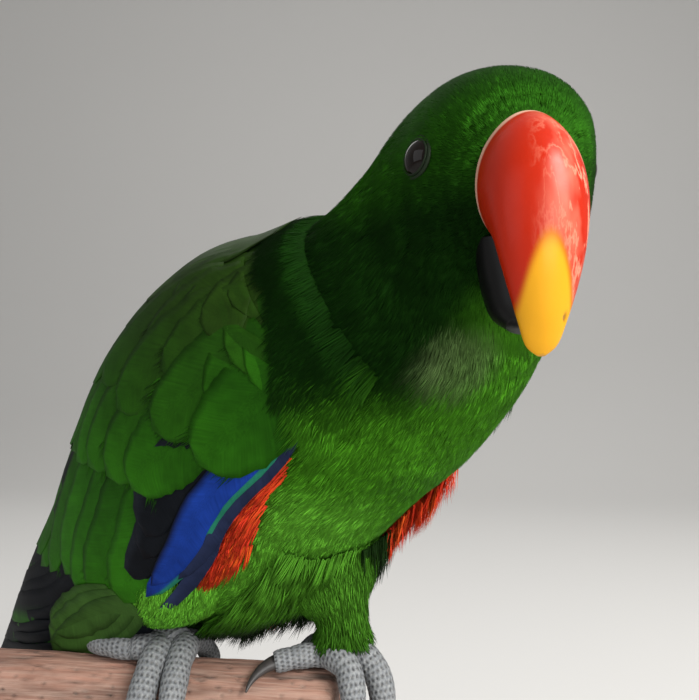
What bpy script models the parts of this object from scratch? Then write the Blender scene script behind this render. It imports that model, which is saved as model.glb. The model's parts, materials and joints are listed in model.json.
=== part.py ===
"""A male eclectus parrot, life size, gripping a short length of wooden perch on a plain display stand.

Metres, +Z up. The origin is the middle of the stand's underside. The perch runs along X, and the
bird leans forward over it, towards -Y and +X, with its head turned to face -Y.
"""

import math

import bmesh
import bpy
from mathutils import Matrix, Vector

MM = 0.001
GAP = 0.3 * MM  # left between touching pieces

# Stand and perch
BASE_LENGTH = 150 * MM
BASE_DEPTH = 130 * MM
BASE_THICK = 12 * MM
BASE_CORNER = 18 * MM
BASE_EDGE = 1.5 * MM
PERCH_TOP = 105 * MM
PERCH_RADIUS = 15 * MM
PERCH_LEFT = -95 * MM
PERCH_RIGHT = 27.5 * MM
PERCH_EDGE = 3 * MM
PERCH_SIDES = 30
PERCH_AXIS_Z = PERCH_TOP - PERCH_RADIUS
ROD_RADIUS = 4.5 * MM
ROD_XS = {"left": 8 * MM, "right": -58 * MM}

# The body's stations in mm, tail end first: centre x, y, z, then half width, height to the back, depth to the belly
BODY_STATIONS = [
    (-61, 51, 98, 13, 8, 11),
    (-48, 44, 113, 23, 18, 21),
    (-33, 36, 129, 33, 31, 30.5),
    (-16, 25, 149, 41, 43, 43),
    (2, 13, 170, 45, 47.5, 46),
    (19, 0, 187, 44, 43.5, 45.5),
    (36, -12, 201, 39, 32, 45),
    (49, -24, 212, 32.5, 23, 41.5),
    (60, -35, 222, 27, 23, 36.5),
    (67, -45.5, 228, 24, 26.5, 32.5),
    (71, -57, 229.5, 20.5, 23, 27.5),
    (73, -66, 227, 13, 14, 18),
]
NECK_START = 6.3
HEAD_START = 8.2
BODY_SIDES = 24
TORSO_STEPS = 18

# The upper bill's outline in the head's own plane, in mm, base to tip:
# ridge forward and up, edge forward and up, half width
UPPER_BILL_STATIONS = [
    (-8, 15, -6, -10, 9.2),
    (-2, 15, -2, -11, 9.6),
    (6, 13.5, 2, -12.5, 9.8),
    (12.5, 9.5, 5.5, -14, 9.5),
    (17.5, 3, 8.5, -16, 8.8),
    (20, -6, 10.5, -19, 7.7),
    (20.5, -15, 12, -22.5, 6.2),
    (19.4, -23, 13.2, -27, 4.4),
    (17.6, -28.5, 14.4, -30.4, 2.9),
    (16.4, -31.0, 15.5, -31.7, 0.9),
]
LOWER_BILL_STATIONS = [
    (4, -9, -12, -10, 8.6),
    (7, -14, -10.5, -17, 8.3),
    (9, -18, -8, -22.5, 7.7),
    (10, -21.5, -3, -27, 6.6),
    (10.5, -24.5, 4, -28.5, 4.4),
]
BILL_ROOT = (72.7, -66, 224)
HEAD_TURN = 7
HEAD_NOD = 8

# Each eye: its place along and round the head, its ball, how deep its centre is, and the lid's ring
EYE_ALONG = 9.75
EYE_ROUND = 9
EYE_RADIUS = 6.0 * MM
EYE_DEPTH = 4.9 * MM
LID_RADIUS = 4.2 * MM
LID_THICK = 0.55 * MM

# The lie of the folded wings round the body, in the same columns as the body's stations
WING_STATIONS = [
    (-158, 104, 40, 14, 6, 6),
    (-121, 84, 62, 20, 11, 10),
    (-86, 65, 85, 30, 24, 19),
    (-55, 47, 108, 40, 36, 28),
    (-34, 36, 128, 45, 40, 36),
    (-16, 25, 149, 49, 45.5, 45),
    (2, 13, 170, 50.5, 50.5, 49),
    (19, 0, 187, 47.5, 46.5, 48),
    (36, -12, 201, 42, 34.5, 47),
    (49, -24, 212, 35.5, 25.5, 45.5),
]
WRIST_STATION = 8
# The left wing hangs looser: how far its lower edge turns down and stands off, and where along, in mm
LEFT_DROOP = 13
LEFT_SPREAD = 3.5
LEFT_LOOSE = (15, 60, 100, 160)

# The tail's root, its way, its length and its fan
TAIL_ROOT = (-57, 49, 100)
TAIL_WAY = (-0.77, 0.43, -0.47)
TAIL_LENGTH = 112 * MM
TAIL_PAIRS = 6
TAIL_FAN = 1.55
TAIL_VANE_WIDTH = 19 * MM
TAIL_DROOP = 3 * MM
COVERT_WIDTH = 12 * MM

VANE_THICK = 0.7 * MM
# How wide a feather is along its length: places from 0 to 1, and parts of its width
LONG_VANE = [(0.0, 0.62), (0.35, 0.94), (0.7, 1.0), (0.92, 0.78), (1.0, 0.32)]
SHORT_VANE = [(0.0, 0.7), (0.55, 1.0), (0.87, 0.82), (1.0, 0.34)]


class Feathers:
    """A row of like feathers. Each pair holds the value of the first, lowest feather and of the last, by the back."""

    def __init__(self, name, count, root_along, root_round, tip_along, tip_round, width, root_lift, tip_lift, roll=6):
        self.name = name
        self.count = count
        self.root_along = root_along
        self.root_round = root_round
        self.tip_along = tip_along
        self.tip_round = tip_round
        self.width = width
        self.root_lift = root_lift
        self.tip_lift = tip_lift
        self.roll = roll


# A folded wing's rows, the lowest layer first. Places are mm along from the wrist and degrees round from the side
WING_ROWS = [
    Feathers("primaries", 6, (52, 62), (-32, 12), (212, 152), (60, 26), (15, 17), (-1.5, 0.5), (-1.0, 0.4), 3),
    Feathers("secondaries", 6, (50, 60), (-26, 73), (108, 158), (-27, 76), (19, 18), (0, 0.5), (1.4, 1.8)),
    Feathers("greater_coverts", 6, (30, 38), (-23, 69), (74, 104), (-25, 72), (19, 21), (0.5, 0.8), (2.4, 3.0)),
    Feathers("median_coverts", 5, (8, 16), (-15, 59), (38, 66), (-17, 66), (22, 19), (0.5, -0.5), (3.4, 3.0)),
    Feathers("primary_coverts", 4, (4, 8), (-36, -27), (82, 62), (-37, -26), (9, 10), (0.5, 1.2), (0.4, 2.6), 5),
]


def clear_scene():
    for obj in list(bpy.data.objects):
        bpy.data.objects.remove(obj)


def material(name, colour, roughness=0.6, metallic=0.0):
    """A Principled material of one colour."""
    made = bpy.data.materials.new(name)
    made.use_nodes = True
    shader = made.node_tree.nodes["Principled BSDF"]
    shader.inputs["Base Color"].default_value = (*colour, 1.0)
    shader.inputs["Roughness"].default_value = roughness
    shader.inputs["Metallic"].default_value = metallic
    made.diffuse_color = (*colour, 1.0)
    return made


GREEN = material("green_feather", (0.035, 0.24, 0.03), 0.6)
WING_GREEN = material("wing_green", (0.02, 0.15, 0.02), 0.55)
TAIL_GREEN = material("tail_green", (0.03, 0.1, 0.05), 0.55)
LEG_GREEN = material("leg_green", (0.06, 0.26, 0.03), 0.65)
BILL_RED = material("bill_red", (0.72, 0.06, 0.02), 0.25)
BILL_BLACK = material("bill_black", (0.012, 0.011, 0.012), 0.3)
EYE_DARK = material("eye_dark", (0.01, 0.006, 0.004), 0.08)
FOOT_GREY = material("foot_grey", (0.33, 0.32, 0.31), 0.75)
CLAW_BLACK = material("claw_black", (0.02, 0.019, 0.02), 0.4)
RING_STEEL = material("ring_steel", (0.45, 0.45, 0.45), 0.35, 1.0)
WOOD = material("perch_wood", (0.3, 0.17, 0.12), 0.8)
STAND_GREY = material("stand_grey", (0.09, 0.09, 0.095), 0.5)
ROD_STEEL = material("rod_steel", (0.5, 0.5, 0.52), 0.35, 1.0)


def smooth_between(table, t):
    """The row of a table at t, read from a smooth curve through its rows (Catmull and Rom's)."""
    last = len(table) - 1
    t = min(max(t, 0.0), float(last))
    i = min(int(t), last - 1)
    f = t - i
    before = table[max(i - 1, 0)]
    start = table[i]
    end = table[i + 1]
    after = table[min(i + 2, last)]
    row = []
    for a, b, c, d in zip(before, start, end, after):
        row.append(0.5 * (2 * b + (c - a) * f + (2 * a - 5 * b + 4 * c - d) * f * f + (3 * b - a - 3 * c + d) * f**3))
    return row


class Tube:
    """A body form: oval rings along a curved axis, given by stations from tail to head."""

    def __init__(self, stations, squareness=2.2):
        self.stations = [[value * MM for value in row] for row in stations]
        self.squareness = squareness
        self.last = len(stations) - 1

    def centre(self, t):
        return Vector(smooth_between(self.stations, t)[:3])

    def frame(self, t):
        """The way to the head, the bird's right and its back, at t."""
        step = 0.05
        ahead = (self.centre(t + step) - self.centre(t - step)).normalized()
        right = ahead.cross(Vector((0, 0, 1))).normalized()
        return ahead, right, right.cross(ahead).normalized()

    def point(self, t, angle, out=0.0):
        """The point of the surface at t, at an angle from the bird's right round by its back, moved outwards."""
        _, right, back = self.frame(t)
        row = smooth_between(self.stations, t)
        c = math.cos(angle)
        s = math.sin(angle)
        power = 2.0 / self.squareness
        across = math.copysign(abs(c) ** power, c) * (row[3] + out)
        along = math.copysign(abs(s) ** power, s) * ((row[4] if s > 0 else row[5]) + out)
        return self.centre(t) + right * across + back * along

    def ring(self, t, sides, out=0.0, shift=0.0):
        """A ring of points at t, moved outwards, and by shift along the axis."""
        ahead = self.frame(t)[0]
        return [self.point(t, math.tau * i / sides, out) + ahead * shift for i in range(sides)]

    def rings(self, start, end, steps, sides, out=0.0, start_shift=0.0, end_shift=0.0):
        made = []
        for k in range(steps + 1):
            shift = start_shift if k == 0 else end_shift if k == steps else 0.0
            made.append(self.ring(start + (end - start) * k / steps, sides, out, shift))
        return made


BODY = Tube(BODY_STATIONS)


class WingLie:
    """The curved sheet that one folded wing lies on, for the right side or, mirrored, for the left."""

    STEPS = 200

    def __init__(self, side):
        self.tube = Tube(WING_STATIONS)
        self.side = side
        self.stations = [self.tube.last * (1 - k / self.STEPS) for k in range(self.STEPS + 1)]
        centres = [self.tube.centre(t) for t in self.stations]
        self.ways = [0.0]
        for start, end in zip(centres, centres[1:]):
            self.ways.append(self.ways[-1] + (end - start).length)
        wrist = next(way for t, way in zip(self.stations, self.ways) if t <= WRIST_STATION)
        self.ways = [way - wrist for way in self.ways]

    def station(self, along):
        """The tube's t at a way along from the wrist towards the tail."""
        k = next((k for k, way in enumerate(self.ways) if way > along), self.STEPS)
        k = max(k, 1)
        part = (along - self.ways[k - 1]) / (self.ways[k] - self.ways[k - 1])
        return self.stations[k - 1] + (self.stations[k] - self.stations[k - 1]) * min(max(part, 0.0), 1.0)

    def looseness(self, along, round_by):
        """How far the left wing hangs off here, from 0 to 1: most at its lower edge, half way along."""
        if self.side > 0:
            return 0.0
        start, full, fall, end = (value * MM for value in LEFT_LOOSE)
        rise = min(max((along - start) / (full - start), 0.0), 1.0)
        drop = min(max((end - along) / (end - fall), 0.0), 1.0)
        return rise * drop * min(max((60 - round_by) / 95, 0.0), 1.0)

    def place(self, along, round_by, lift=0.0):
        """The point at a way along in metres, degrees round from the side and a lift off the sheet."""
        loose = self.looseness(along, round_by)
        round_by -= LEFT_DROOP * loose
        lift += LEFT_SPREAD * MM * loose
        angle = math.radians(round_by if self.side > 0 else 180 - round_by)
        return self.tube.point(self.station(along), angle, lift)

    def outwards(self, along, round_by):
        """The sheet's outward normal."""
        way = self.place(along + 2 * MM, round_by) - self.place(along, round_by)
        turn = self.place(along + MM, round_by + 2) - self.place(along + MM, round_by - 2)
        normal = way.cross(turn).normalized()
        outer = self.place(along, round_by, MM) - self.place(along, round_by)
        return normal if normal.dot(outer) > 0 else -normal


def mesh_object(name, points, faces, finish):
    mesh = bpy.data.meshes.new(name)
    mesh.from_pydata([tuple(p) for p in points], [], faces)
    obj = bpy.data.objects.new(name, mesh)
    bpy.context.scene.collection.objects.link(obj)
    obj.data.materials.append(finish)
    face_outwards(obj)
    return obj


def face_outwards(obj):
    made = bmesh.new()
    made.from_mesh(obj.data)
    bmesh.ops.recalc_face_normals(made, faces=made.faces)
    if made.calc_volume(signed=True) < 0:
        bmesh.ops.reverse_faces(made, faces=made.faces)
    made.to_mesh(obj.data)
    made.free()


def ring_solid(name, rings, finish):
    """A closed solid through rings of points, all of one count, with a fan at each end."""
    count = len(rings[0])
    points = [p for ring in rings for p in ring]
    faces = []
    for k in range(len(rings) - 1):
        for i in range(count):
            j = (i + 1) % count
            a, b, c, d = k * count + i, k * count + j, (k + 1) * count + j, (k + 1) * count + i
            faces += [(a, b, c), (a, c, d)]
    for ring, start in ((rings[0], 0), (rings[-1], (len(rings) - 1) * count)):
        middle = len(points)
        points.append(sum((Vector(p) for p in ring), Vector()) / count)
        faces += [(middle, start + i, start + (i + 1) % count) for i in range(count)]
    return mesh_object(name, points, faces, finish)


def slab_solid(name, outer, inner, finish):
    """A closed slab between two grids of points, rows of one count, split alike on its two faces."""
    rows = len(outer)
    count = len(outer[0])
    points = [p for row in outer + inner for p in row]
    faces = []
    for r in range(rows - 1):
        for i in range(count - 1):
            a = r * count + i
            b = a + rows * count
            for corner in (a, b):
                faces += [(corner, corner + 1, corner + count + 1), (corner, corner + count + 1, corner + count)]
    rim = [i for i in range(count)]
    rim += [r * count + count - 1 for r in range(1, rows)]
    rim += [(rows - 1) * count + i for i in range(count - 2, -1, -1)]
    rim += [r * count for r in range(rows - 2, 0, -1)]
    for a, b in zip(rim, rim[1:] + rim[:1]):
        faces += [(a, b, b + rows * count), (a, b + rows * count, a + rows * count)]
    return mesh_object(name, points, faces, finish)


def vane_solid(name, rings, finish):
    """A flat feather through rings of four corners, split into triangles alike on its two faces."""
    points = [p for ring in rings for p in ring]
    faces = []
    for k in range(len(rings) - 1):
        a = [4 * k + i for i in range(4)]
        b = [4 * k + 4 + i for i in range(4)]
        faces += [(a[0], a[1], b[1]), (a[0], b[1], b[0])]
        faces += [(a[1], a[2], b[2]), (a[1], b[2], b[1])]
        faces += [(a[2], a[3], b[2]), (a[3], b[3], b[2])]
        faces += [(a[3], a[0], b[0]), (a[3], b[0], b[3])]
    end = 4 * len(rings) - 4
    faces += [(0, 1, 2), (0, 2, 3), (end, end + 1, end + 2), (end, end + 2, end + 3)]
    return mesh_object(name, points, faces, finish)


def keep_largest(obj):
    """Keep only the largest closed surface of a mesh."""
    made = bmesh.new()
    made.from_mesh(obj.data)
    left = set(made.faces)
    shells = []
    while left:
        shell = {left.pop()}
        edge_on = list(shell)
        while edge_on:
            for edge in edge_on.pop().edges:
                for face in edge.link_faces:
                    if face in left:
                        left.remove(face)
                        shell.add(face)
                        edge_on.append(face)
        shells.append(shell)
    keep = max(shells, key=lambda shell: sum(face.calc_area() for face in shell))
    drop = [face for face in made.faces if face not in keep]
    bmesh.ops.delete(made, geom=drop, context="FACES")
    bmesh.ops.triangulate(made, faces=made.faces)
    made.to_mesh(obj.data)
    made.free()


def combine(obj, others, operation, keep_others=False):
    """One Boolean of an object with all the others, applied, of which the largest closed surface is kept."""
    group = bpy.data.collections.new(obj.name + "_others")
    for other in others:
        group.objects.link(other)
    step = obj.modifiers.new(operation.lower(), "BOOLEAN")
    step.operation = operation
    step.operand_type = "COLLECTION"
    step.collection = group
    step.solver = "EXACT"
    bpy.context.view_layer.update()
    shaped = obj.evaluated_get(bpy.context.evaluated_depsgraph_get())
    mesh = bpy.data.meshes.new_from_object(shaped)
    obj.modifiers.remove(step)
    obj.data = mesh
    if not keep_others:
        for other in others:
            bpy.data.objects.remove(other)
    bpy.data.collections.remove(group)
    keep_largest(obj)
    return obj


def fuse(pieces):
    """Join pieces into the first of them."""
    return combine(pieces[0], pieces[1:], "UNION")


def carve(obj, cutters, keep_cutters=False):
    """Cut the cutters out of an object."""
    return combine(obj, cutters, "DIFFERENCE", keep_cutters)


def body_cutter(name):
    """The torso and the start of the neck, larger by the gap, to cut what lies on them."""
    steps = TORSO_STEPS + 3
    end = NECK_START * steps / TORSO_STEPS
    return ring_solid(name, BODY.rings(0, end, steps, BODY_SIDES, GAP, -GAP), GREEN)


def make_torso_neck_and_head():
    half = GAP / 2
    torso = ring_solid("torso", BODY.rings(0, NECK_START, TORSO_STEPS, BODY_SIDES, end_shift=-half), GREEN)
    neck = ring_solid("neck", BODY.rings(NECK_START, HEAD_START, 7, BODY_SIDES, 0, half, -half), GREEN)
    head = ring_solid("head", BODY.rings(HEAD_START, BODY.last, 10, BODY_SIDES, 0, half), GREEN)
    return torso, neck, head


def head_axes():
    """The head's own axes at the bill's root: forward, right and up."""
    turn = math.radians(HEAD_TURN)
    nod = math.radians(HEAD_NOD)
    forward = Vector((math.sin(turn) * math.cos(nod), -math.cos(turn) * math.cos(nod), -math.sin(nod)))
    right = forward.cross(Vector((0, 0, 1))).normalized()
    return forward, right, right.cross(forward).normalized()


def bill_rings(stations, steps, sides, out=0.0):
    """Rings of a mandible from its stations, moved outwards."""
    forward, right, up = head_axes()
    root = Vector(BILL_ROOT) * MM
    rings = []
    for k in range(steps + 1):
        row = [value * MM for value in smooth_between(stations, (len(stations) - 1) * k / steps)]
        ridge = forward * row[0] + up * row[1]
        edge = forward * row[2] + up * row[3]
        middle = root + (ridge + edge) / 2
        along = (ridge - edge) / 2
        along += along.normalized() * out
        across = right * (row[4] + out)
        angles = [math.tau * i / sides for i in range(sides)]
        rings.append([middle + along * math.sin(a) + across * math.cos(a) for a in angles])
    return rings


def make_bill(head):
    """The two mandibles, the lower one cut clear of the upper one, and the head cut clear of both."""
    upper = ring_solid("bill_upper", bill_rings(UPPER_BILL_STATIONS, 13, 16), BILL_RED)
    lower = ring_solid("bill_lower", bill_rings(LOWER_BILL_STATIONS, 7, 14), BILL_BLACK)
    upper_cutter = ring_solid("upper_cutter", bill_rings(UPPER_BILL_STATIONS, 13, 16, GAP), BILL_RED)
    lower_cutter = ring_solid("lower_cutter", bill_rings(LOWER_BILL_STATIONS, 7, 14, GAP), BILL_BLACK)
    carve(lower, [upper_cutter], keep_cutters=True)
    carve(head, [upper_cutter, lower_cutter])
    return upper, lower


def ball(name, centre, radius, finish, segments=14, rings=9):
    bpy.ops.mesh.primitive_uv_sphere_add(segments=segments, ring_count=rings, radius=radius, location=centre)
    obj = bpy.context.object
    obj.name = name
    obj.data.materials.append(finish)
    return obj


def make_eyes(head):
    """Both eyes, a lid ring round each, and the sockets that they sit in."""
    for side, angle in (("right", math.radians(EYE_ROUND)), ("left", math.radians(180 - EYE_ROUND))):
        skin = BODY.point(EYE_ALONG, angle)
        outwards = (BODY.point(EYE_ALONG, angle, MM) - skin).normalized()
        centre = skin - outwards * EYE_DEPTH
        ball("eye_" + side, centre, EYE_RADIUS, EYE_DARK)
        bpy.ops.mesh.primitive_torus_add(
            major_segments=16, minor_segments=5, major_radius=LID_RADIUS, minor_radius=LID_THICK
        )
        lid = bpy.context.object
        lid.data.materials.append(GREEN)
        lid.matrix_world = Matrix.Translation(skin) @ outwards.to_track_quat("Z", "Y").to_matrix().to_4x4()
        fuse([head, lid])
        carve(head, [ball("socket_" + side, centre, EYE_RADIUS + GAP, EYE_DARK)])


def vane_rings(place, outwards, width, roll, shape=LONG_VANE):
    """Rings of a flat feather. place(f) is its middle line and outwards(f) its upper side, f from 0 to 1."""
    rings = []
    for f, part in shape:
        centre = place(f)
        up = outwards(f)
        way = (place(min(f + 0.02, 1.0)) - place(max(f - 0.02, 0.0))).normalized()
        across = way.cross(up).normalized()
        turn = Matrix.Rotation(roll, 3, way)
        up = turn @ across.cross(way)
        across = turn @ across
        half = across * width * part / 2
        rise = up * VANE_THICK / 2
        rings.append([centre - half + rise, centre + half + rise, centre + half - rise, centre - half - rise])
    return rings


def between(pair, part):
    return pair[0] + (pair[1] - pair[0]) * part


def wing_vane(lie, row, number):
    """One feather of a row on a folded wing."""
    part = number / (row.count - 1)
    root_along = between(row.root_along, part) * MM
    tip_along = between(row.tip_along, part) * MM
    root_round = between(row.root_round, part)
    tip_round = between(row.tip_round, part)
    root_lift = between(row.root_lift, part) * MM
    tip_lift = between(row.tip_lift, part) * MM

    def at(f):
        return root_along + (tip_along - root_along) * f, root_round + (tip_round - root_round) * f

    def place(f):
        return lie.place(*at(f), root_lift + (tip_lift - root_lift) * f)

    def outwards(f):
        return lie.outwards(*at(f))

    roll = math.radians(row.roll) * lie.side
    shape = LONG_VANE if tip_along - root_along > 60 * MM else SHORT_VANE
    rings = vane_rings(place, outwards, between(row.width, part) * MM, roll, shape)
    return vane_solid(f"{row.name}_{number}", rings, WING_GREEN)


def wing_core(lie):
    """The wing's own body under its feathers: it swells behind the wrist and thins to its edges and its end."""
    steps = 9
    across_steps = 9
    outer = []
    inner = []
    for k in range(steps + 1):
        f = k / steps
        along = between((-12, 71), f) * MM
        low = between((-34, -28), f)
        high = between((54, 76), f)
        swell = between((-5, 3.6), math.sin(min(f / 0.4, 1) * math.pi / 2)) - 3.6 * max(f - 0.55, 0) / 0.45
        depth = between((9, 1.4), max(f - 0.55, 0) / 0.45)
        outer.append([])
        inner.append([])
        for i in range(across_steps + 1):
            u = i / across_steps
            angle = between((low, high), u)
            crown = math.sqrt(1 - (2 * u - 1) ** 2)
            edge = -2.2 * (1 - crown) * (1 - f)
            outer[-1].append(lie.place(along, angle, (swell * crown + edge) * MM))
            inner[-1].append(lie.place(along, angle, -(depth + max(-swell, 0)) * MM))
    return slab_solid("core", outer, inner, WING_GREEN)


def make_wing(side, name, cutters):
    lie = WingLie(side)
    pieces = [wing_core(lie)]
    for row in WING_ROWS:
        pieces += [wing_vane(lie, row, number) for number in range(row.count)]
    wing = fuse(pieces)
    wing.name = name
    carve(wing, cutters, keep_cutters=True)
    return wing


def tail_axes():
    """The tail's way, its right and its upper side."""
    way = Vector(TAIL_WAY).normalized()
    right = Vector((0, 0, 1)).cross(way).normalized()
    return way, right, way.cross(right).normalized()


def tail_vane(name, start, way, up, length, width, droop, shape):
    def place(f):
        return start + way * length * f - up * droop * f * f

    return vane_solid(name, vane_rings(place, lambda f: up, width, 0.0, shape), TAIL_GREEN)


def make_tail(cutters):
    """Six pairs of tail feathers, the middle pair on top, with short coverts over and under their roots."""
    way, right, up = tail_axes()
    root = Vector(TAIL_ROOT) * MM
    core_rings = []
    for along, half_width, half_height in ((-9, 12.5, 9), (8, 13, 8), (24, 12.5, 6), (44, 9, 1.5)):
        middle = root + (way * along - up * half_height / 4) * MM
        angles = [math.tau * i / 14 for i in range(14)]
        ring = [middle + (right * math.cos(a) * half_width + up * math.sin(a) * half_height) * MM for a in angles]
        core_rings.append(ring)
    pieces = [ring_solid("core", core_rings, TAIL_GREEN)]
    for pair in range(TAIL_PAIRS):
        for side in (1, -1):
            number = pair + 0.5
            vane_way = Matrix.Rotation(math.radians(TAIL_FAN * number) * side, 3, up) @ way
            length = TAIL_LENGTH - (pair * 1.6 + pair**2 * 0.35) * MM
            start = root + right * side * number * 1.5 * MM + up * (1.8 - 1.05 * pair - 0.25 * side) * MM
            name = f"feather_{pair}_{side}"
            pieces.append(tail_vane(name, start, vane_way, up, length, TAIL_VANE_WIDTH, TAIL_DROOP, LONG_VANE))
    for over, lift, length, spread in ((1, 5.4, 44, 5.0), (-1, -8.4, 60, 5.0)):
        for number in (-2, -1, 0, 1, 2):
            turn = Matrix.Rotation(math.radians(2.2 * number), 3, up)
            start = root + (right * spread * number + up * (lift - over * 0.9 * abs(number))) * MM - way * 5 * MM
            droop = over * 1.5 * MM
            reach = (length - 4 * abs(number)) * MM
            name = f"covert_{over}_{number}"
            pieces.append(tail_vane(name, start, turn @ way, up, reach, COVERT_WIDTH, droop, SHORT_VANE))
    tail = fuse(pieces)
    tail.name = "tail"
    carve(tail, cutters, keep_cutters=True)
    return tail


# Each leg in mm: the thigh's stations, top first (centre and radius), the shank's path from it to the foot, and
# each toe's path over the perch with its radius at the root and the end. The left foot grips the perch's end
THIGHS = {
    "right": [(-14, -3, 151, 16), (-18, -4, 136, 18), (-26, 0.5, 126, 13.5), (-31.3, 6, 119.6, 7.2)],
    "left": [(17, 25, 154, 16), (21, 13, 138, 18), (25, 4, 126, 13), (28, 1, 118, 7.8)],
}
SHANKS = {
    "right": [(-32.5, 7.6, 123), (-28.8, 4.9, 114.8), (-21.5, -0.5, 109.8)],
    "left": [(28, 1, 121), (28, 2, 115), (26.5, -1, 110)],
}
SHANK_RADII = (4.2, 4.0, 5.0)
TOES = {
    "right": {
        "outer_front": [
            (-24.5, 1, 109.6), (-25, -9, 107.2), (-25.2, -17.5, 98.5), (-24.6, -19.6, 87), (-23, -16, 77.5)
        ],
        "inner_front": [(-18.5, 0, 109.4), (-17.5, -9, 106.9), (-16.5, -17, 98.6), (-15.6, -19.3, 89)],
        "outer_back": [(-24, -2, 109.5), (-33, -3.2, 109), (-41, -2, 108.8), (-48, 2, 108)],
        "inner_back": [(-20, 1, 109.4), (-17.5, 10, 106.4), (-16, 17, 98.8)],
    },
    "left": {
        "outer_front": [(26, 1, 109.6), (34, -0.5, 109), (39.2, -3, 102.5), (40, -5, 92), (36.6, -6, 81.5)],
        "inner_front": [(25, -2.5, 109.4), (30.5, -7.5, 107.6), (32.8, -11.5, 100.3), (32.8, -13, 90.5)],
        "outer_back": [(26, 0, 109.4), (19, 9, 107), (14, 16, 100.3), (11, 19.4, 91), (10, 18, 82)],
        "inner_back": [(25, -1, 109), (17, -3, 108.5), (9.5, -5.5, 107.4)],
    },
}
TOE_RADII = {
    "outer_front": (4.2, 3.1),
    "inner_front": (4.0, 3.0),
    "outer_back": (3.9, 2.9),
    "inner_back": (3.6, 2.7),
}
TOE_STEPS = {"outer_front": 8, "inner_front": 7, "outer_back": 7, "inner_back": 5}
CLAW_LENGTH = 12 * MM
CLAW_RADIUS = 2.2 * MM
CLAW_BEND = 62

RING_RADIUS = 6.0 * MM  # inside
RING_THICK = 0.9 * MM
RING_HEIGHT = 2.6 * MM
RING_SLIT = 30  # degrees
RING_CENTRE = (-29.4, 5.4, 114.4)
RING_WAY = (0.45, -0.47, -0.76)


def path_rings(points, radii, sides):
    """Round rings along a path, each square to it."""
    rings = []
    for k, (centre, radius) in enumerate(zip(points, radii)):
        way = (points[min(k + 1, len(points) - 1)] - points[max(k - 1, 0)]).normalized()
        across = way.cross(Vector((1, 0.02, 0.03))).normalized()
        other = way.cross(across)
        angles = [math.tau * (i + 0.5) / sides for i in range(sides)]
        rings.append([centre + (across * math.cos(a) + other * math.sin(a)) * radius for a in angles])
    return rings


def smooth_path(stations, steps):
    rows = [smooth_between(stations, (len(stations) - 1) * k / steps) for k in range(steps + 1)]
    return [Vector(row[:3]) * MM for row in rows]


def make_foot(side):
    """One foot: the shank down to the perch and four toes on it, two in front and two behind, with their claws."""
    radii = [radius * MM for radius in SHANK_RADII]
    pieces = [ring_solid("shank", path_rings(smooth_path(SHANKS[side], 2), radii, 12), FOOT_GREY)]
    for name, stations in TOES[side].items():
        steps = TOE_STEPS[name]
        points = smooth_path(stations, steps)
        radii = []
        for k in range(steps + 1):
            pad = 0.25 * abs(math.sin(3 * math.pi * k / steps))
            radii.append((between(TOE_RADII[name], k / steps) + pad) * MM)
        pieces.append(ring_solid(name, path_rings(points, radii, 8), FOOT_GREY))
        make_claw(f"claw_{side}_{name}", points)
    foot = fuse(pieces)
    foot.name = "foot_" + side
    carve(foot, [perch_cutter()])
    return foot


def make_claw(name, toe_points):
    """A claw that goes on from a toe's flat end and hooks in the way that the toe bends."""
    way = (toe_points[-1] - toe_points[-2]).normalized()
    inwards = way - (toe_points[-2] - toe_points[-3]).normalized()
    inwards = (inwards - way * inwards.dot(way)).normalized()
    steps = 6
    centre = toe_points[-1] + way * GAP
    points = [centre]
    for k in range(steps):
        bend = math.radians(CLAW_BEND) * (k + 0.5) / steps
        centre = centre + (way * math.cos(bend) + inwards * math.sin(bend)) * CLAW_LENGTH / steps
        points.append(centre)
    radii = [between((CLAW_RADIUS, 0.3 * MM), (k / steps) ** 1.2) for k in range(steps + 1)]
    claw = ring_solid(name, path_rings(points, radii, 8), CLAW_BLACK)
    carve(claw, [perch_cutter()])
    return claw


def perch_cutter():
    """The perch, larger by the gap, to cut what grips it."""
    length = PERCH_RIGHT - PERCH_LEFT + 2 * GAP
    bpy.ops.mesh.primitive_cylinder_add(vertices=PERCH_SIDES, radius=PERCH_RADIUS + GAP, depth=length)
    cutter = bpy.context.object
    middle = ((PERCH_LEFT + PERCH_RIGHT) / 2, 0, PERCH_AXIS_Z)
    cutter.matrix_world = Matrix.Translation(middle) @ Matrix.Rotation(math.pi / 2, 4, "Y")
    cutter.data.materials.append(WOOD)
    return cutter


def thigh_rings(side, out=0.0):
    stations = THIGHS[side]
    steps = 8
    rows = [smooth_between(stations, (len(stations) - 1) * k / steps) for k in range(steps + 1)]
    return path_rings(smooth_path(stations, steps), [row[3] * MM + out for row in rows], 14)


def shank_socket(side):
    """A shank, larger by the gap."""
    path = smooth_path(SHANKS[side], 2)
    path[0] = path[0] + (path[0] - path[1]).normalized() * GAP
    return ring_solid("socket", path_rings(path, [radius * MM + GAP for radius in SHANK_RADII], 12), LEG_GREEN)


def make_thighs(torso):
    """The feathered thighs, set into the torso, which is cut clear of them, of the shanks and of the leg ring."""
    for side in THIGHS:
        thigh = ring_solid("thigh_" + side, thigh_rings(side), LEG_GREEN)
        cutters = [shank_socket(side)] + ([ring_room()] if side == "right" else [])
        carve(thigh, cutters, keep_cutters=True)
        carve(torso, cutters + [ring_solid("cutter_" + side, thigh_rings(side, GAP), LEG_GREEN)])


def ring_place():
    turn = Vector(RING_WAY).to_track_quat("Z", "Y").to_matrix().to_4x4()
    return Matrix.Translation(Vector(RING_CENTRE) * MM) @ turn


def ring_room():
    """The disc that the leg ring takes up, larger by the gap."""
    radius = RING_RADIUS + RING_THICK + GAP
    bpy.ops.mesh.primitive_cylinder_add(vertices=20, radius=radius * 1.02, depth=RING_HEIGHT + 2 * GAP)
    room = bpy.context.object
    room.matrix_world = ring_place()
    room.data.materials.append(LEG_GREEN)
    return room


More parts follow.
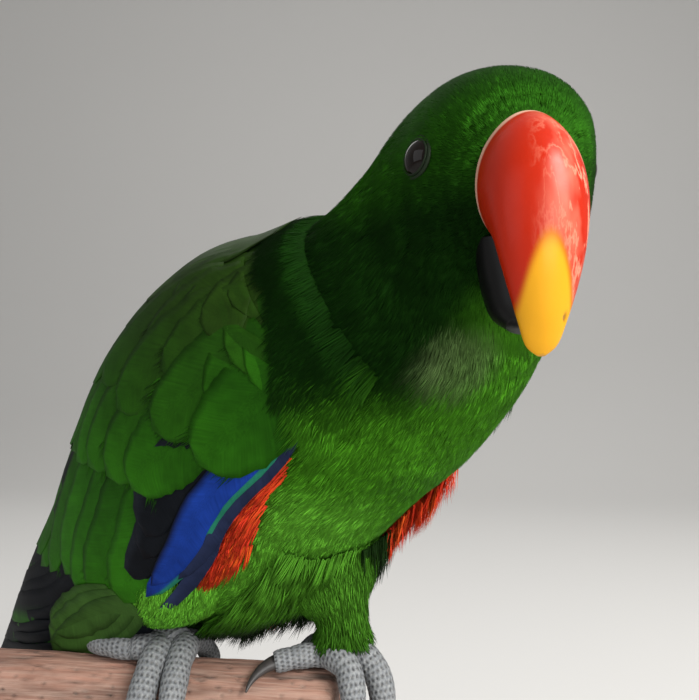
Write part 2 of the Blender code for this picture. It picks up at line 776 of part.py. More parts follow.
def make_leg_ring():
    """The open metal ring that hangs round the right shank: a flat band bent round, with a slit."""
    steps = 20
    rings = []
    for k in range(steps + 1):
        a = between((RING_SLIT / 2, 360 - RING_SLIT / 2), k / steps)
        way = Vector((math.cos(math.radians(a)), math.sin(math.radians(a)), 0))
        half = Vector((0, 0, RING_HEIGHT / 2))
        outer = RING_RADIUS + RING_THICK
        rings.append([way * RING_RADIUS - half, way * outer - half, way * outer + half, way * RING_RADIUS + half])
    ring_solid("leg_ring", rings, RING_STEEL).data.transform(ring_place())


def make_perch_and_stand():
    bpy.ops.mesh.primitive_cylinder_add(vertices=PERCH_SIDES, radius=PERCH_RADIUS, depth=PERCH_RIGHT - PERCH_LEFT)
    perch = bpy.context.object
    perch.name = "perch"
    perch.data.materials.append(WOOD)
    middle = ((PERCH_LEFT + PERCH_RIGHT) / 2, 0, PERCH_AXIS_Z)
    perch.matrix_world = Matrix.Translation(middle) @ Matrix.Rotation(math.pi / 2, 4, "Y")
    soften = perch.modifiers.new("soften_ends", "BEVEL")
    soften.width = PERCH_EDGE
    soften.segments = 2
    soften.limit_method = "ANGLE"
    soften.angle_limit = math.radians(60)

    bpy.ops.mesh.primitive_cube_add(size=1, location=(0, 0, BASE_THICK / 2))
    base = bpy.context.object
    base.name = "stand_base"
    base.data.materials.append(STAND_GREY)
    base.data.transform(Matrix.Diagonal((BASE_LENGTH, BASE_DEPTH, BASE_THICK, 1)))
    made = bmesh.new()
    made.from_mesh(base.data)
    upright = [edge for edge in made.edges if abs(edge.verts[0].co.z - edge.verts[1].co.z) > BASE_THICK / 2]
    bmesh.ops.bevel(made, geom=upright, offset=BASE_CORNER, segments=6, profile=0.5, affect="EDGES")
    top = [edge for edge in made.edges if min(v.co.z for v in edge.verts) > BASE_THICK / 2 - MM / 10]
    bmesh.ops.bevel(made, geom=top, offset=BASE_EDGE, segments=2, profile=0.5, affect="EDGES")
    made.to_mesh(base.data)
    made.free()

    for side, x in ROD_XS.items():
        low = BASE_THICK + GAP
        high = PERCH_AXIS_Z
        bpy.ops.mesh.primitive_cylinder_add(
            vertices=20, radius=ROD_RADIUS, depth=high - low, location=(x, 0, (high + low) / 2)
        )
        rod = bpy.context.object
        rod.name = "stand_rod_" + side
        rod.data.materials.append(ROD_STEEL)
        carve(rod, [perch_cutter()])


def build():
    clear_scene()
    torso, neck, head = make_torso_neck_and_head()
    make_bill(head)
    make_eyes(head)
    for side in TOES:
        make_foot(side)
    make_thighs(torso)
    torso_cutter = body_cutter("torso_cutter")
    tail = make_tail([torso_cutter])
    thigh_cutters = [ring_solid("cutter_" + side, thigh_rings(side, GAP), LEG_GREEN) for side in THIGHS]
    make_wing(1, "wing_right", [torso_cutter] + thigh_cutters)
    make_wing(-1, "wing_left", [torso_cutter] + thigh_cutters)
    make_leg_ring()
    make_perch_and_stand()
    for cutter in [torso_cutter] + thigh_cutters:
        bpy.data.objects.remove(cutter)


build()
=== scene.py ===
"""Looks of a male eclectus parrot, life size, on a short perch and a plain display stand.

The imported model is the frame. A skin, a coat of small feathers, the folded wings, the tail, the bill,
the eyes, the scaled feet and the stand are modelled here around it, in metres.
"""

import json
import math
from typing import NamedTuple

import bmesh
import bpy
import numpy as np
from bpy.props import FloatProperty, FloatVectorProperty, IntProperty, PointerProperty
from bpy.types import Operator, Panel, PropertyGroup
from mathutils import Matrix, Vector, noise

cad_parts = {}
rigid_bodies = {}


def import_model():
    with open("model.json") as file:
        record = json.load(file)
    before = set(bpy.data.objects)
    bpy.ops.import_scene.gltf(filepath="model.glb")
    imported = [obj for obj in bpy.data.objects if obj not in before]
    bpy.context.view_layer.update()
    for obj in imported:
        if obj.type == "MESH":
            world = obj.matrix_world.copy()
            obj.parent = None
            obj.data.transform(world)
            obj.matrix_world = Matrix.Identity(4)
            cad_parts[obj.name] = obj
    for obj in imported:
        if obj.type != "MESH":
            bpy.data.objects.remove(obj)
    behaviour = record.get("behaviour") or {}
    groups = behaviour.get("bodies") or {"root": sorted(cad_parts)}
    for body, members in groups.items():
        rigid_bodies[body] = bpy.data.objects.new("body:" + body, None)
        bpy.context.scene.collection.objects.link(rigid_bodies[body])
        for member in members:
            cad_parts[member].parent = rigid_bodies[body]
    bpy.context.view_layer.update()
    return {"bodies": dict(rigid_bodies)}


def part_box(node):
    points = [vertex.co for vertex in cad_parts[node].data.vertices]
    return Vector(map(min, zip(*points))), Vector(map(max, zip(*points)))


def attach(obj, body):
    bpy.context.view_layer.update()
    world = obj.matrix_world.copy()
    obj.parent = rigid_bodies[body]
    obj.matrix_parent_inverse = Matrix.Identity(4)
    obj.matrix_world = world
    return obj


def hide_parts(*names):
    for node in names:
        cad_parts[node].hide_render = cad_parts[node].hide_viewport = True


bl_info = {
    "name": "Eclectus Parrot on a Perch",
    "version": (1, 0, 0),
    "blender": (4, 5, 0),
    "location": "View3D > Sidebar > Parrot",
    "description": "Models a life-size eclectus parrot, feather by feather, on a perch and stand",
    "category": "Add Mesh",
}

MM = 0.001
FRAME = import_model()
BODY_NAME = sorted(FRAME["bodies"])[0]

# The body's stations in mm, tail end first: centre x, y and z, half width, height to the back and depth
# to the belly. The folded wings lie on wider stations of their own.
BODY_STATIONS = [
    (-61, 51, 98, 13, 8, 11),
    (-48, 44, 113, 23, 18, 21),
    (-33, 36, 129, 33, 31, 30.5),
    (-16, 25, 149, 41, 43, 43),
    (2, 13, 170, 45, 47.5, 46),
    (19, 0, 187, 44, 43.5, 45.5),
    (36, -12, 201, 39, 32, 45),
    (49, -24, 212, 32.5, 23, 41.5),
    (60, -35, 222, 27, 23, 36.5),
    (67, -45.5, 228, 24, 26.5, 32.5),
    (71, -57, 229.5, 20.5, 23, 27.5),
    (73, -66, 227, 13, 14, 18),
]
WING_STATIONS = [
    (-158, 104, 40, 14, 6, 6),
    (-121, 84, 62, 20, 11, 10),
    (-86, 65, 85, 30, 24, 19),
    (-55, 47, 108, 40, 36, 28),
    (-34, 36, 128, 45, 40, 36),
    (-16, 25, 149, 49, 45.5, 45),
    (2, 13, 170, 50.5, 50.5, 49),
    (19, 0, 187, 47.5, 46.5, 48),
    (36, -12, 201, 42, 34.5, 47),
    (49, -24, 212, 35.5, 25.5, 45.5),
]
WRIST_STATION = 8
# The left wing hangs looser: the degrees that its lower edge turns down, how far it stands off in mm,
# and where along the wing in mm this starts, is full and ends
LEFT_DROOP = 13
LEFT_SPREAD = 3.5
LEFT_LOOSE = (15, 60, 100, 160)
# Thighs from the body down: x, y and z, and their radius, in mm
THIGHS = {
    "right": [(-14, -3, 151, 16), (-18, -4, 136, 18), (-26, 0.5, 126, 13.5), (-31.3, 6, 119.6, 7.2)],
    "left": [(17, 25, 154, 16), (21, 13, 138, 18), (25, 4, 126, 13), (28, 1, 118, 7.8)],
}
# How deep the skin lies under a thigh's feathers, and where these hang on past its end, as one more station
THIGH_INSET = 0.9
THIGH_FRINGES = {"right": (-33, 7.5, 112, 8.5), "left": (28.2, 1.6, 110, 11)}
# Shanks and toes: points along their middle in mm, then radii
SHANKS = {
    "right": [(-32.5, 7.6, 123), (-28.8, 4.9, 114.8), (-21.5, -0.5, 109.8)],
    "left": [(28, 1, 121), (28, 2, 115), (26.5, -1, 110)],
}
SHANK_RADII = (4.2, 4.0, 5.0)
TOES = {
    "right": {
        "outer_front": [
            (-24.5, 1, 109.6),
            (-25, -9, 107.2),
            (-25.2, -17.5, 98.5),
            (-24.6, -19.6, 87),
            (-23, -16, 77.5),
        ],
        "inner_front": [(-18.5, 0, 109.4), (-17.5, -9, 106.9), (-16.5, -17, 98.6), (-15.6, -19.3, 89)],
        "outer_back": [(-24, -2, 109.5), (-33, -3.2, 109), (-41, -2, 108.8), (-48, 2, 108)],
        "inner_back": [(-20, 1, 109.4), (-17.5, 10, 106.4), (-16, 17, 98.8)],
    },
    "left": {
        "outer_front": [(26, 1, 109.6), (34, -0.5, 109), (39.2, -3, 102.5), (40, -5, 92), (36.6, -6, 81.5)],
        "inner_front": [(25, -2.5, 109.4), (30.5, -7.5, 107.6), (32.8, -11.5, 100.3), (32.8, -13, 90.5)],
        "outer_back": [(26, 0, 109.4), (19, 9, 107), (14, 16, 100.3), (11, 19.4, 91), (10, 18, 82)],
        "inner_back": [(25, -1, 109), (17, -3, 108.5), (9.5, -5.5, 107.4)],
    },
}
TOE_RADII = {
    "outer_front": (4.2, 3.1),
    "inner_front": (4.0, 3.0),
    "outer_back": (3.9, 2.9),
    "inner_back": (3.6, 2.7),
}
# The steps of each toe's path in the CAD, the last of which give its claw a direction
TOE_STEPS = {"outer_front": 8, "inner_front": 7, "outer_back": 7, "inner_back": 5}
# How many points lie round a toe or shank, and how far apart its rings are in mm
FOOT_SIDES = 76
FOOT_STEP = 0.24
# The claws in mm, with the radii of root and tip, and the degrees that they bend
CLAW_LENGTH = 13
CLAW_RADII = (2.2, 0.25)
CLAW_BEND = 62
# The bill's stations in mm from its root: how far forward and up its ridge is, then its edge, and half
# its width
UPPER_BILL_STATIONS = [
    (-8, 15, -6, -10, 9.2),
    (-2, 15, -2, -11, 9.6),
    (6, 13.5, 2, -12.5, 9.8),
    (12.5, 9.5, 5.5, -14, 9.5),
    (17.5, 3, 8.5, -16, 8.8),
    (20, -6, 10.5, -19, 7.7),
    (20.5, -15, 12, -22.5, 6.2),
    (19.4, -23, 13.2, -27, 4.4),
    (17.6, -28.5, 14.4, -30.4, 2.9),
    (16.4, -31.0, 15.5, -31.7, 0.9),
]
LOWER_BILL_STATIONS = [
    (4, -9, -12, -10, 8.6),
    (7, -14, -10.5, -17, 8.3),
    (9, -18, -8, -22.5, 7.7),
    (10, -21.5, -3, -27, 6.6),
    (10.5, -24.5, 4, -28.5, 4.4),
]
BILL_ROOT = (72.7, -66, 224)
HEAD_TURN = 7
HEAD_NOD = 8
# Where the right eye sits on the body (station and degrees), and its ball in mm
EYE_ALONG = 9.75
EYE_ROUND = 9.0
EYE_RADIUS = 5.5
EYE_DEPTH = 4.9
# The lids round each eye: radius, thickness and distance from the ball's centre, in mm
LIDS = ((4.35, 0.45, 3.6), (3.75, 0.25, 4.05))
TAIL_ROOT = (-57, 49, 100)
TAIL_WAY = (-0.77, 0.43, -0.47)
# The leg ring's middle in mm and the way that its hole runs
RING_PLACE = (-29.4, 5.4, 114.4)
RING_WAY = (0.45, -0.47, -0.76)
# The perch and the stand in mm: the perch's radius, the height of its middle and the rounding of its ends,
# a rod's radius, and the rounding of the base's corners and of its upper edge
PERCH_RADIUS = 15
PERCH_HEIGHT = 90
PERCH_EDGE = 3
ROD_RADIUS = 4.5
BASE_CORNER = 18
BASE_EDGE = 1.5
# The degrees past which an edge of the stand stays sharp
CREASE = 35
# The stations over which the throat is evened out, and how far along them
THROAT_SPAN = (7, 8.5, 10.4, 11.3)
THROAT_SHIFTS = (-1.2, -0.9, -0.6, -0.3, 0, 0.3, 0.6, 0.9, 1.2)
# A direction that no leg or toe runs along
ASKEW = (1, 0.02, 0.03)


# Shared geometry


def rows_at(table, t):
    """Rows of a table at each t, from a smooth curve through its rows (Catmull and Rom's)."""
    table = np.asarray(table, float)
    last = len(table) - 1
    t = np.clip(np.asarray(t, float), 0, last)
    i = np.minimum(t.astype(int), last - 1)
    f = (t - i)[..., None]
    a, b, c, d = table[np.maximum(i - 1, 0)], table[i], table[i + 1], table[np.minimum(i + 2, last)]
    return 0.5 * (2 * b + (c - a) * f + (2 * a - 5 * b + 4 * c - d) * f**2 + (3 * b - a - 3 * c + d) * f**3)


def unit(v):
    return v / np.maximum(np.linalg.norm(v, axis=-1, keepdims=True), 1e-12)


def smooth(part):
    """An even ease from 0 to 1."""
    return part * part * (3 - 2 * part)


class Tube:
    """A body form: oval rings along a curved axis, given by stations. Places are (t, degrees).

    step is a small change of t, and flow says which way along the stations the feathers point.
    """

    squareness = 2.2
    step = 0.05
    flow = -1

    def __init__(self, stations):
        self.table = np.asarray(stations, float) * MM
        self.last = len(stations) - 1

    def point(self, t, degrees, out=0.0):
        t = np.asarray(t, float)
        row = rows_at(self.table, t)
        ahead = unit((rows_at(self.table, t + self.step) - rows_at(self.table, t - self.step))[..., :3])
        right = unit(np.cross(ahead, (0, 0, 1)))
        back = unit(np.cross(right, ahead))
        angle = np.radians(degrees)
        c, s = np.cos(angle), np.sin(angle)
        power = 2 / self.squareness
        across = np.sign(c) * np.abs(c) ** power * (row[..., 3] + out)
        along = np.sign(s) * np.abs(s) ** power * (np.where(s > 0, row[..., 4], row[..., 5]) + out)
        return row[..., :3] + right * across[..., None] + back * along[..., None]


class Head(Tube):
    """The body with a face: past the last station the rings close in towards the bill."""

    def point(self, t, degrees, out=0.0):
        """Places on the body, evened out along the throat so that no crease shows under the cheeks."""
        t = np.asarray(t, float)
        surface = self.plain(t, degrees, out)
        near = np.interp(t, THROAT_SPAN, (0, 1, 1, 0))
        below = np.clip(0.55 - np.sin(np.radians(degrees)), 0, 1) * near
        if not np.any(below > 0):
            return surface
        even = sum(self.plain(np.clip(t + shift, 0, self.last), degrees, out) for shift in THROAT_SHIFTS)
        return surface + (even / len(THROAT_SHIFTS) - surface) * below[..., None]

    def plain(self, t, degrees, out):
        over = np.clip(t - self.last, 0, 1)[..., None]
        surface = super().point(np.minimum(t, self.last), degrees, out)
        forward, _, _ = head_axes()
        centre = self.table[-1, :3] + forward * 1.5 * MM
        rise = np.sin(over * math.pi / 2) * 2.6 * MM + np.asarray(out)[..., None] * over
        return surface * (1 - over * 0.45) + centre * over * 0.45 + forward * rise


class Leg:
    """A round form along a path, as a feathered thigh. Places are (t, degrees)."""

    step = 0.05
    flow = 1

    def __init__(self, stations):
        self.table = np.asarray(stations, float) * MM
        self.last = len(stations) - 1

    def point(self, t, degrees, out=0.0):
        t = np.asarray(t, float)
        row = rows_at(self.table, t)
        way = unit(rows_at(self.table, t + 0.1)[..., :3] - rows_at(self.table, t - 0.1)[..., :3])
        across = unit(np.cross(way, ASKEW))
        other = np.cross(way, across)
        angle = np.radians(degrees)[..., None]
        outward = across * np.cos(angle) + other * np.sin(angle)
        return row[..., :3] + outward * (row[..., 3:4] + np.asarray(out)[..., None])


class WingLie:
    """The curved sheet that a folded wing lies on. Places are (metres from the wrist, degrees round)."""

    step = 2 * MM
    flow = 1

    def __init__(self, side):
        self.tube = Tube(WING_STATIONS)
        self.side = side
        self.t = np.linspace(self.tube.last, 0, 201)
        centres = rows_at(self.tube.table, self.t)[:, :3]
        ways = np.concatenate([[0], np.cumsum(np.linalg.norm(np.diff(centres, axis=0), axis=1))])
        self.ways = ways - np.interp(-WRIST_STATION, -self.t, ways)

    def point(self, along, degrees, out=0.0):
        t = np.interp(along, self.ways, self.t)
        degrees = np.asarray(degrees, float)
        if self.side > 0:
            return self.tube.point(t, degrees, out)
        loose = np.interp(np.asarray(along) / MM, LEFT_LOOSE, (0, 1, 1, 0))
        loose = loose * np.clip((60 - degrees) / 95, 0, 1)
        return self.tube.point(t, 180 - degrees + LEFT_DROOP * loose, out + LEFT_SPREAD * MM * loose)


def head_axes():
    """The head's own forward, right and up."""
    turn, nod = math.radians(HEAD_TURN), math.radians(HEAD_NOD)
    forward = np.array((math.sin(turn) * math.cos(nod), -math.cos(turn) * math.cos(nod), -math.sin(nod)))
    right = unit(np.cross(forward, (0, 0, 1)))
    return forward, right, np.cross(right, forward)


BODY = Head(BODY_STATIONS)


def normals(sheet, u, v):
    """Outward normals of a sheet at places (u, v)."""
    one = sheet.point(u + sheet.step, v) - sheet.point(u - sheet.step, v)
    two = sheet.point(u, v + 2.0) - sheet.point(u, v - 2.0)
    found = unit(np.cross(one, two))
    outer = sheet.point(u, v, np.full(np.shape(u), MM)) - sheet.point(u, v)
    return found * np.sign(np.sum(found * outer, axis=-1, keepdims=True))


def metric(sheet, u, v):
    """Metres on a sheet for one step of u and for one degree of v."""
    one = sheet.point(u + sheet.step, v) - sheet.point(u - sheet.step, v)
    two = sheet.point(u, v + 1) - sheet.point(u, v - 1)
    return np.linalg.norm(one, axis=-1) / (2 * sheet.step), np.linalg.norm(two, axis=-1) / 2


def fill_mesh(name, points, faces, finish, colours=None, vane=None, bake=None):
    """A smooth mesh object from points and triangles, with one colour and place on each map a point."""
    mesh = bpy.data.meshes.new(name)
    mesh.vertices.add(len(points))
    mesh.vertices.foreach_set("co", np.ascontiguousarray(points, np.float32).ravel())
    mesh.loops.add(len(faces) * 3)
    mesh.loops.foreach_set("vertex_index", np.ascontiguousarray(faces, np.int32).ravel())
    mesh.polygons.add(len(faces))
    mesh.polygons.foreach_set("loop_start", np.arange(0, 3 * len(faces), 3, dtype=np.int32))
    mesh.update(calc_edges=True)
    mesh.shade_smooth()
    corner = np.asarray(faces).ravel()
    for label, places in (("OFBake", bake), ("vane", vane)):
        if places is not None:
            layer = mesh.uv_layers.new(name=label)
            layer.data.foreach_set("uv", np.ascontiguousarray(places[corner], np.float32).ravel())
    if colours is not None:
        paint(mesh, colours)
    obj = bpy.data.objects.new(name, mesh)
    bpy.context.scene.collection.objects.link(obj)
    mesh.materials.append(finish)
    return obj


def paint(mesh, colours):
    """Give a mesh one colour a point."""
    layer = mesh.attributes.new("plumage", "FLOAT_COLOR", "POINT")
    full = np.ones((len(mesh.vertices), 4), np.float32)
    full[:, :3] = colours
    layer.data.foreach_set("color", full.ravel())


def positions(mesh):
    """A mesh's points as an array."""
    co = np.empty(len(mesh.vertices) * 3, np.float32)
    mesh.vertices.foreach_get("co", co)
    return co.reshape(-1, 3).astype(float)


def only(obj):
    """Leave obj alone selected and active."""
    if bpy.context.mode != "OBJECT":
        bpy.ops.object.mode_set(mode="OBJECT")
    bpy.ops.object.select_all(action="DESELECT")
    bpy.context.view_layer.objects.active = obj
    obj.select_set(True)


def place_in_mesh(obj):
    """Move an object's place into its mesh."""
    only(obj)
    bpy.ops.object.transform_apply(location=True, rotation=True, scale=True)


def shape(name, make, **settings):
    """One of Blender's plain shapes, alone and named."""
    bpy.ops.object.select_all(action="DESELECT")
    make(**settings)
    obj = bpy.context.object
    obj.name = name
    return obj


def round_off(obj, degrees):
    """Shade an object smooth but for edges that turn more than this, and leave it alone selected."""
    only(obj)
    bpy.ops.object.shade_smooth_by_angle(angle=math.radians(degrees))


def joined(pieces):
    """One object from several."""
    only(pieces[0])
    for piece in pieces[1:]:
        piece.select_set(True)
    bpy.ops.object.join()
    return bpy.context.object


def rolled(name, rings, finish, colours=None):
    """A grid rolled into a tube through rings of points (rows, sides, 3), closed at both ends."""
    rows, sides = rings.shape[:2]
    bpy.ops.mesh.primitive_grid_add(x_subdivisions=sides, y_subdivisions=rows - 1, size=2)
    obj = bpy.context.object
    obj.name = name
    obj.data.name = name
    co = positions(obj.data)
    i = np.rint((co[:, 0] + 1) / 2 * sides).astype(int) % sides
    k = np.rint((co[:, 1] + 1) / 2 * (rows - 1)).astype(int)
    obj.data.vertices.foreach_set("co", rings[k, i].astype(np.float32).ravel())
    for layer in list(obj.data.uv_layers):
        obj.data.uv_layers.remove(layer)
    if colours is not None:
        paint(obj.data, colours[k, i])
    only(obj)
    bpy.ops.object.mode_set(mode="EDIT")
    bpy.ops.mesh.select_all(action="SELECT")
    bpy.ops.mesh.remove_doubles(threshold=1e-6)
    bpy.ops.mesh.select_all(action="SELECT")
    bpy.ops.mesh.fill_holes(sides=0)
    bpy.ops.mesh.select_all(action="SELECT")
    bpy.ops.mesh.normals_make_consistent(inside=False)
    bpy.ops.object.mode_set(mode="OBJECT")
    bpy.ops.object.shade_smooth()
    obj.data.materials.clear()
    obj.data.materials.append(finish)
    return obj


def path_rings(table, steps, sides):
    """Centres along a smooth path in mm, the directions outward round each, and their angles."""
    centres = rows_at(np.asarray(table, float) * MM, np.linspace(0, len(table) - 1, steps))
    way = unit(np.gradient(centres, axis=0))
    across = unit(np.cross(way, ASKEW))
    other = np.cross(way, across)
    angle = np.linspace(0, math.tau, sides, endpoint=False)
    outward = across[:, None] * np.cos(angle)[:, None] + other[:, None] * np.sin(angle)[:, None]
    return centres, outward, angle


def finished(obj, slot, *nodes):
    """Let a piece ride on the body and stand for CAD nodes, which it hides. The slot is not used."""
    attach(obj, BODY_NAME)
    if nodes:
        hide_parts(*nodes)


# Materials


class Finish:
    """A node material, put together step by step."""

    def __init__(self, name, roughness=0.5, metallic=0.0):
        self.material = bpy.data.materials.new(name)
        self.material.use_nodes = True
        self.tree = self.material.node_tree
        self.shader = self.tree.nodes["Principled BSDF"]
        self.shader.inputs["Roughness"].default_value = roughness
        self.shader.inputs["Metallic"].default_value = metallic

    def node(self, kind, **settings):
        made = self.tree.nodes.new(kind)
        for key, value in settings.items():
            if key in made.inputs:
                made.inputs[key].default_value = value
            else:
                setattr(made, key, value)
        return made

    def link(self, out, into):
        self.tree.links.new(out, into)

    def coords(self):
        return self.node("ShaderNodeTexCoord").outputs["Object"]

    def stretched(self, source, scale, turn=(0, 0, 0)):
        made = self.node("ShaderNodeMapping")
        made.inputs["Scale"].default_value = scale
        made.inputs["Rotation"].default_value = turn
        self.link(source, made.inputs["Vector"])
        return made.outputs["Vector"]

    def noise(self, source, scale, detail=3.0, rough=0.55):
        made = self.node("ShaderNodeTexNoise", Scale=scale, Detail=detail, Roughness=rough)
        self.link(source, made.inputs["Vector"])
        return made.outputs["Fac"]

    def ramp(self, source, low, high, to_low=0.0, to_high=1.0):
        made = self.node("ShaderNodeMapRange")
        for key, value in (("From Min", low), ("From Max", high), ("To Min", to_low), ("To Max", to_high)):
            made.inputs[key].default_value = value
        self.link(source, made.inputs["Value"])
        return made.outputs["Result"]

    def fill(self, socket, value):
        """Link a socket, or set its number or colour."""
        if hasattr(value, "node"):
            self.link(value, socket)
        elif isinstance(value, (int, float)):
            socket.default_value = value
        else:
            socket.default_value = (*value, 1.0)

    def maths(self, operation, one, two=0.0):
        made = self.node("ShaderNodeMath", operation=operation)
        self.fill(made.inputs[0], one)
        self.fill(made.inputs[1], two)
        return made.outputs[0]

    def mix(self, fac, one, two):
        made = self.node("ShaderNodeMix", data_type="RGBA")
        for place, value in (("Factor", fac), (6, one), (7, two)):
            self.fill(made.inputs[place], value)
        return made.outputs[2]

    def colour(self, value):
        self.link(value, self.shader.inputs["Base Color"])

    def rough(self, value):
        self.link(value, self.shader.inputs["Roughness"])

    def gloss(self, level):
        self.shader.inputs["Specular IOR Level"].default_value = level

    def bump(self, height, strength, depth_mm):
        made = self.node("ShaderNodeBump", Strength=strength, Distance=depth_mm * MM)
        self.link(height, made.inputs["Height"])
        self.link(made.outputs["Normal"], self.shader.inputs["Normal"])

    def painted(self):
        return self.node("ShaderNodeVertexColor", layer_name="plumage").outputs["Color"]


def feather_finish(name, fine, strength, roughness):
    """Feather vanes: painted colours with fine barbs along the vane map, whose units are millimetres."""
    f = Finish(name, roughness)
    vane = f.node("ShaderNodeUVMap", uv_map="vane").outputs["UV"]
    barbs = f.noise(f.stretched(vane, (fine, fine * 0.07, 1)), 1.0, 2.0)
    blotch = f.noise(f.coords(), 160, 2.0)
    shade = f.ramp(barbs, 0.3, 0.7, 1 - strength, 1 + strength * 0.7)
    patch = f.ramp(blotch, 0.3, 0.7, 0.82, 1.18)
    tint = f.node("ShaderNodeHueSaturation")
    f.link(f.maths("MULTIPLY", shade, patch), tint.inputs["Value"])
    f.link(f.painted(), tint.inputs["Color"])
    f.colour(tint.outputs["Color"])
    f.bump(barbs, 0.5, 0.1)
    f.gloss(0.03)
    return f.material


# Settings


class ParrotSizes(PropertyGroup):
    coat_depth: FloatProperty(
        name="Coat Depth",
        description="How deep the skin lies under the coat",
        default=1.6 * MM,
        unit="LENGTH",
    )
    gap: FloatProperty(
        name="Feather Gap",
        description="Space between body feathers, as a part of the usual one",
        default=1.0,
        min=0.8,
    )
    seed: IntProperty(name="Seed", description="Seed of the small differences between feathers", default=7)


def colour_setting(name, description, default):
    return FloatVectorProperty(name=name, description=description, subtype="COLOR", default=default)


class ParrotColours(PropertyGroup):
    # Painted light and shade: green, mantle and vent are dark where shade falls, crown, breast and belly
    # light where light falls
    green: colour_setting("Green", "Deep green of the neck and cheeks", (0.005, 0.028, 0.002))
    crown: colour_setting("Crown", "Green of the crown and brow", (0.022, 0.115, 0.005))
    breast: colour_setting("Breast", "Green of the breast", (0.07, 0.28, 0.012))
    belly: colour_setting("Belly", "Bright yellow-green of the belly", (0.14, 0.46, 0.035))
    vent: colour_setting("Vent", "Dark green under the tail's root", (0.004, 0.013, 0.002))
    mantle: colour_setting("Mantle", "Dark olive green of the back", (0.011, 0.028, 0.003))
    throat: colour_setting("Throat", "Greyish green under the bill", (0.12, 0.17, 0.07))
    wing: colour_setting("Wing", "Green of the wing feathers", (0.014, 0.08, 0.003))
    wing_tip: colour_setting("Wing Tips", "Brighter green at the ends of wing feathers", (0.024, 0.13, 0.004))
    red: colour_setting("Flank Red", "Red under the wings", (0.72, 0.045, 0.018))
    orange: colour_setting("Flank Orange", "Orange of single feathers in the red", (0.68, 0.14, 0.012))
    blue: colour_setting("Wing Blue", "Blue of the wing's edge", (0.007, 0.03, 0.2))
    teal: colour_setting("Wing Teal", "Blue-green rim of the blue feathers", (0.014, 0.13, 0.075))
    indigo: colour_setting("Wing Indigo", "Dull indigo of the wing's leading edge", (0.014, 0.02, 0.05))
    undertail: colour_setting(
        "Under Tail", "Dull green of the soft feathers beside the tail's root", (0.03, 0.075, 0.014)
    )
    black: colour_setting("Flight Black", "Black of the flight feathers", (0.004, 0.005, 0.007))
    tail: colour_setting("Tail", "Green of the tail feathers", (0.012, 0.05, 0.006))
    tail_tip: colour_setting("Tail Tip", "Dull yellow of the tail's end", (0.3, 0.16, 0.02))
    bill: colour_setting("Bill Red", "Orange red of the upper bill", (0.37, 0.014, 0.002))
    bill_tip: colour_setting("Bill Tip", "Yellow of the bill's tip", (0.62, 0.29, 0.007))
    bill_root: colour_setting("Bill Root", "Pale line where the bill meets the feathers", (0.7, 0.4, 0.3))


def sizes():
    """The settings of the model's sizes."""
    return bpy.context.scene.parrot_sizes


def hue(name):
    """A colour of the settings as an array."""
    return np.array(getattr(bpy.context.scene.parrot_colours, name)[:3])


# Patches of painted light and shade on the coat, with the throat's own grey, in the order that they are laid:
# centre and reach in mm, the colour's name and how strongly it shows
MARKINGS_AND_PAINTED_LIGHT = [
    ((62, -54, 250), (52, 56, 24), "crown", 1.0),
    ((98, -62, 225), (20, 60, 60), "crown", 0.95),
    ((46, -24, 156), (48, 56, 30), "breast", 1.0),
    ((78, -46, 180), (22, 30, 30), "breast", 0.9),
    ((10, 10, 130), (80, 70, 32), "breast", 1.0),
    ((-36, 66, 196), (80, 66, 68), "mantle", 0.95),
    ((16, -30, 140), (38, 36, 23), "belly", 0.95),
    ((34, -14, 132), (28, 26, 20), "belly", 0.7),
    ((-12, -20, 127), (22, 20, 14), "belly", 0.7),
    ((63, -62, 191), (11, 12, 9), "throat", 0.6),
    ((4, 0, 114), (34, 26, 12), "green", 0.5),
    ((0, 30, 104), (60, 34, 20), "vent", 0.97),
]


def plumage(points):
    """The coat's colour at points of the body, with its light and shade painted in."""
    colour = np.tile(hue("green"), (len(points), 1))
    for centre, reach, name, strength in MARKINGS_AND_PAINTED_LIGHT:
        far = np.linalg.norm((points / MM - np.array(centre)) / np.array(reach), axis=1)
        part = (smooth(np.clip((1.3 - far) / 0.6, 0, 1)) * strength)[:, None]
        colour = colour * (1 - part) + hue(name) * part
    return colour


# How much darker the skin is painted than the feathers over it, as painted shade under the coat
SKIN_SHADE = 0.62
# Painted light and shade of the thighs: how far each one's feathers go towards the belly's colour,
# and how light they are. The left thigh is darkened as painted shade from the body
LEG_PAINTED_LIGHT = {"right": (0.8, 1), "left": (0.1, 0.3)}
LEG_BARBS = 10


# Small feathers


# Where a barb's rings lie, from its root at 0 to its tip at 1, so that a short barb is straight
LONG_BARB = (0.0, 0.55)
SHORT_BARB = (0.0,)
# The width in mm of a soft barb of the thighs and tail coverts, and of a wing's barb
SOFT_BARB = 0.62
WING_BARB = 0.35
# The most barbs in one piece, and the size of a barb's patch on the OFBake map
PIECE_BARBS = 18500
BAKE_PATCH = 0.003


def barbs(name, sheet, roots, steps, length, width, lifts, colours, finish, rng, slot, shape=LONG_BARB):
    """Fine barbs on a sheet, each a thin three-sided spike that bends with it, in one or more pieces.

    roots are places (u, v), steps their change from root to tip, and lifts the heights of root and tip.
    """
    order = np.argsort(roots[0])
    pieces = math.ceil(len(order) / PIECE_BARBS)
    arrays = (*roots, *steps, *lifts, length, width, colours)
    for number, chosen in enumerate(np.array_split(order, pieces)):
        label = name if pieces == 1 else f"{name}_{number + 1}"
        obj = barb_mesh(label, sheet, shape, finish, rng, *(values[chosen] for values in arrays))
        finished(obj, slot)


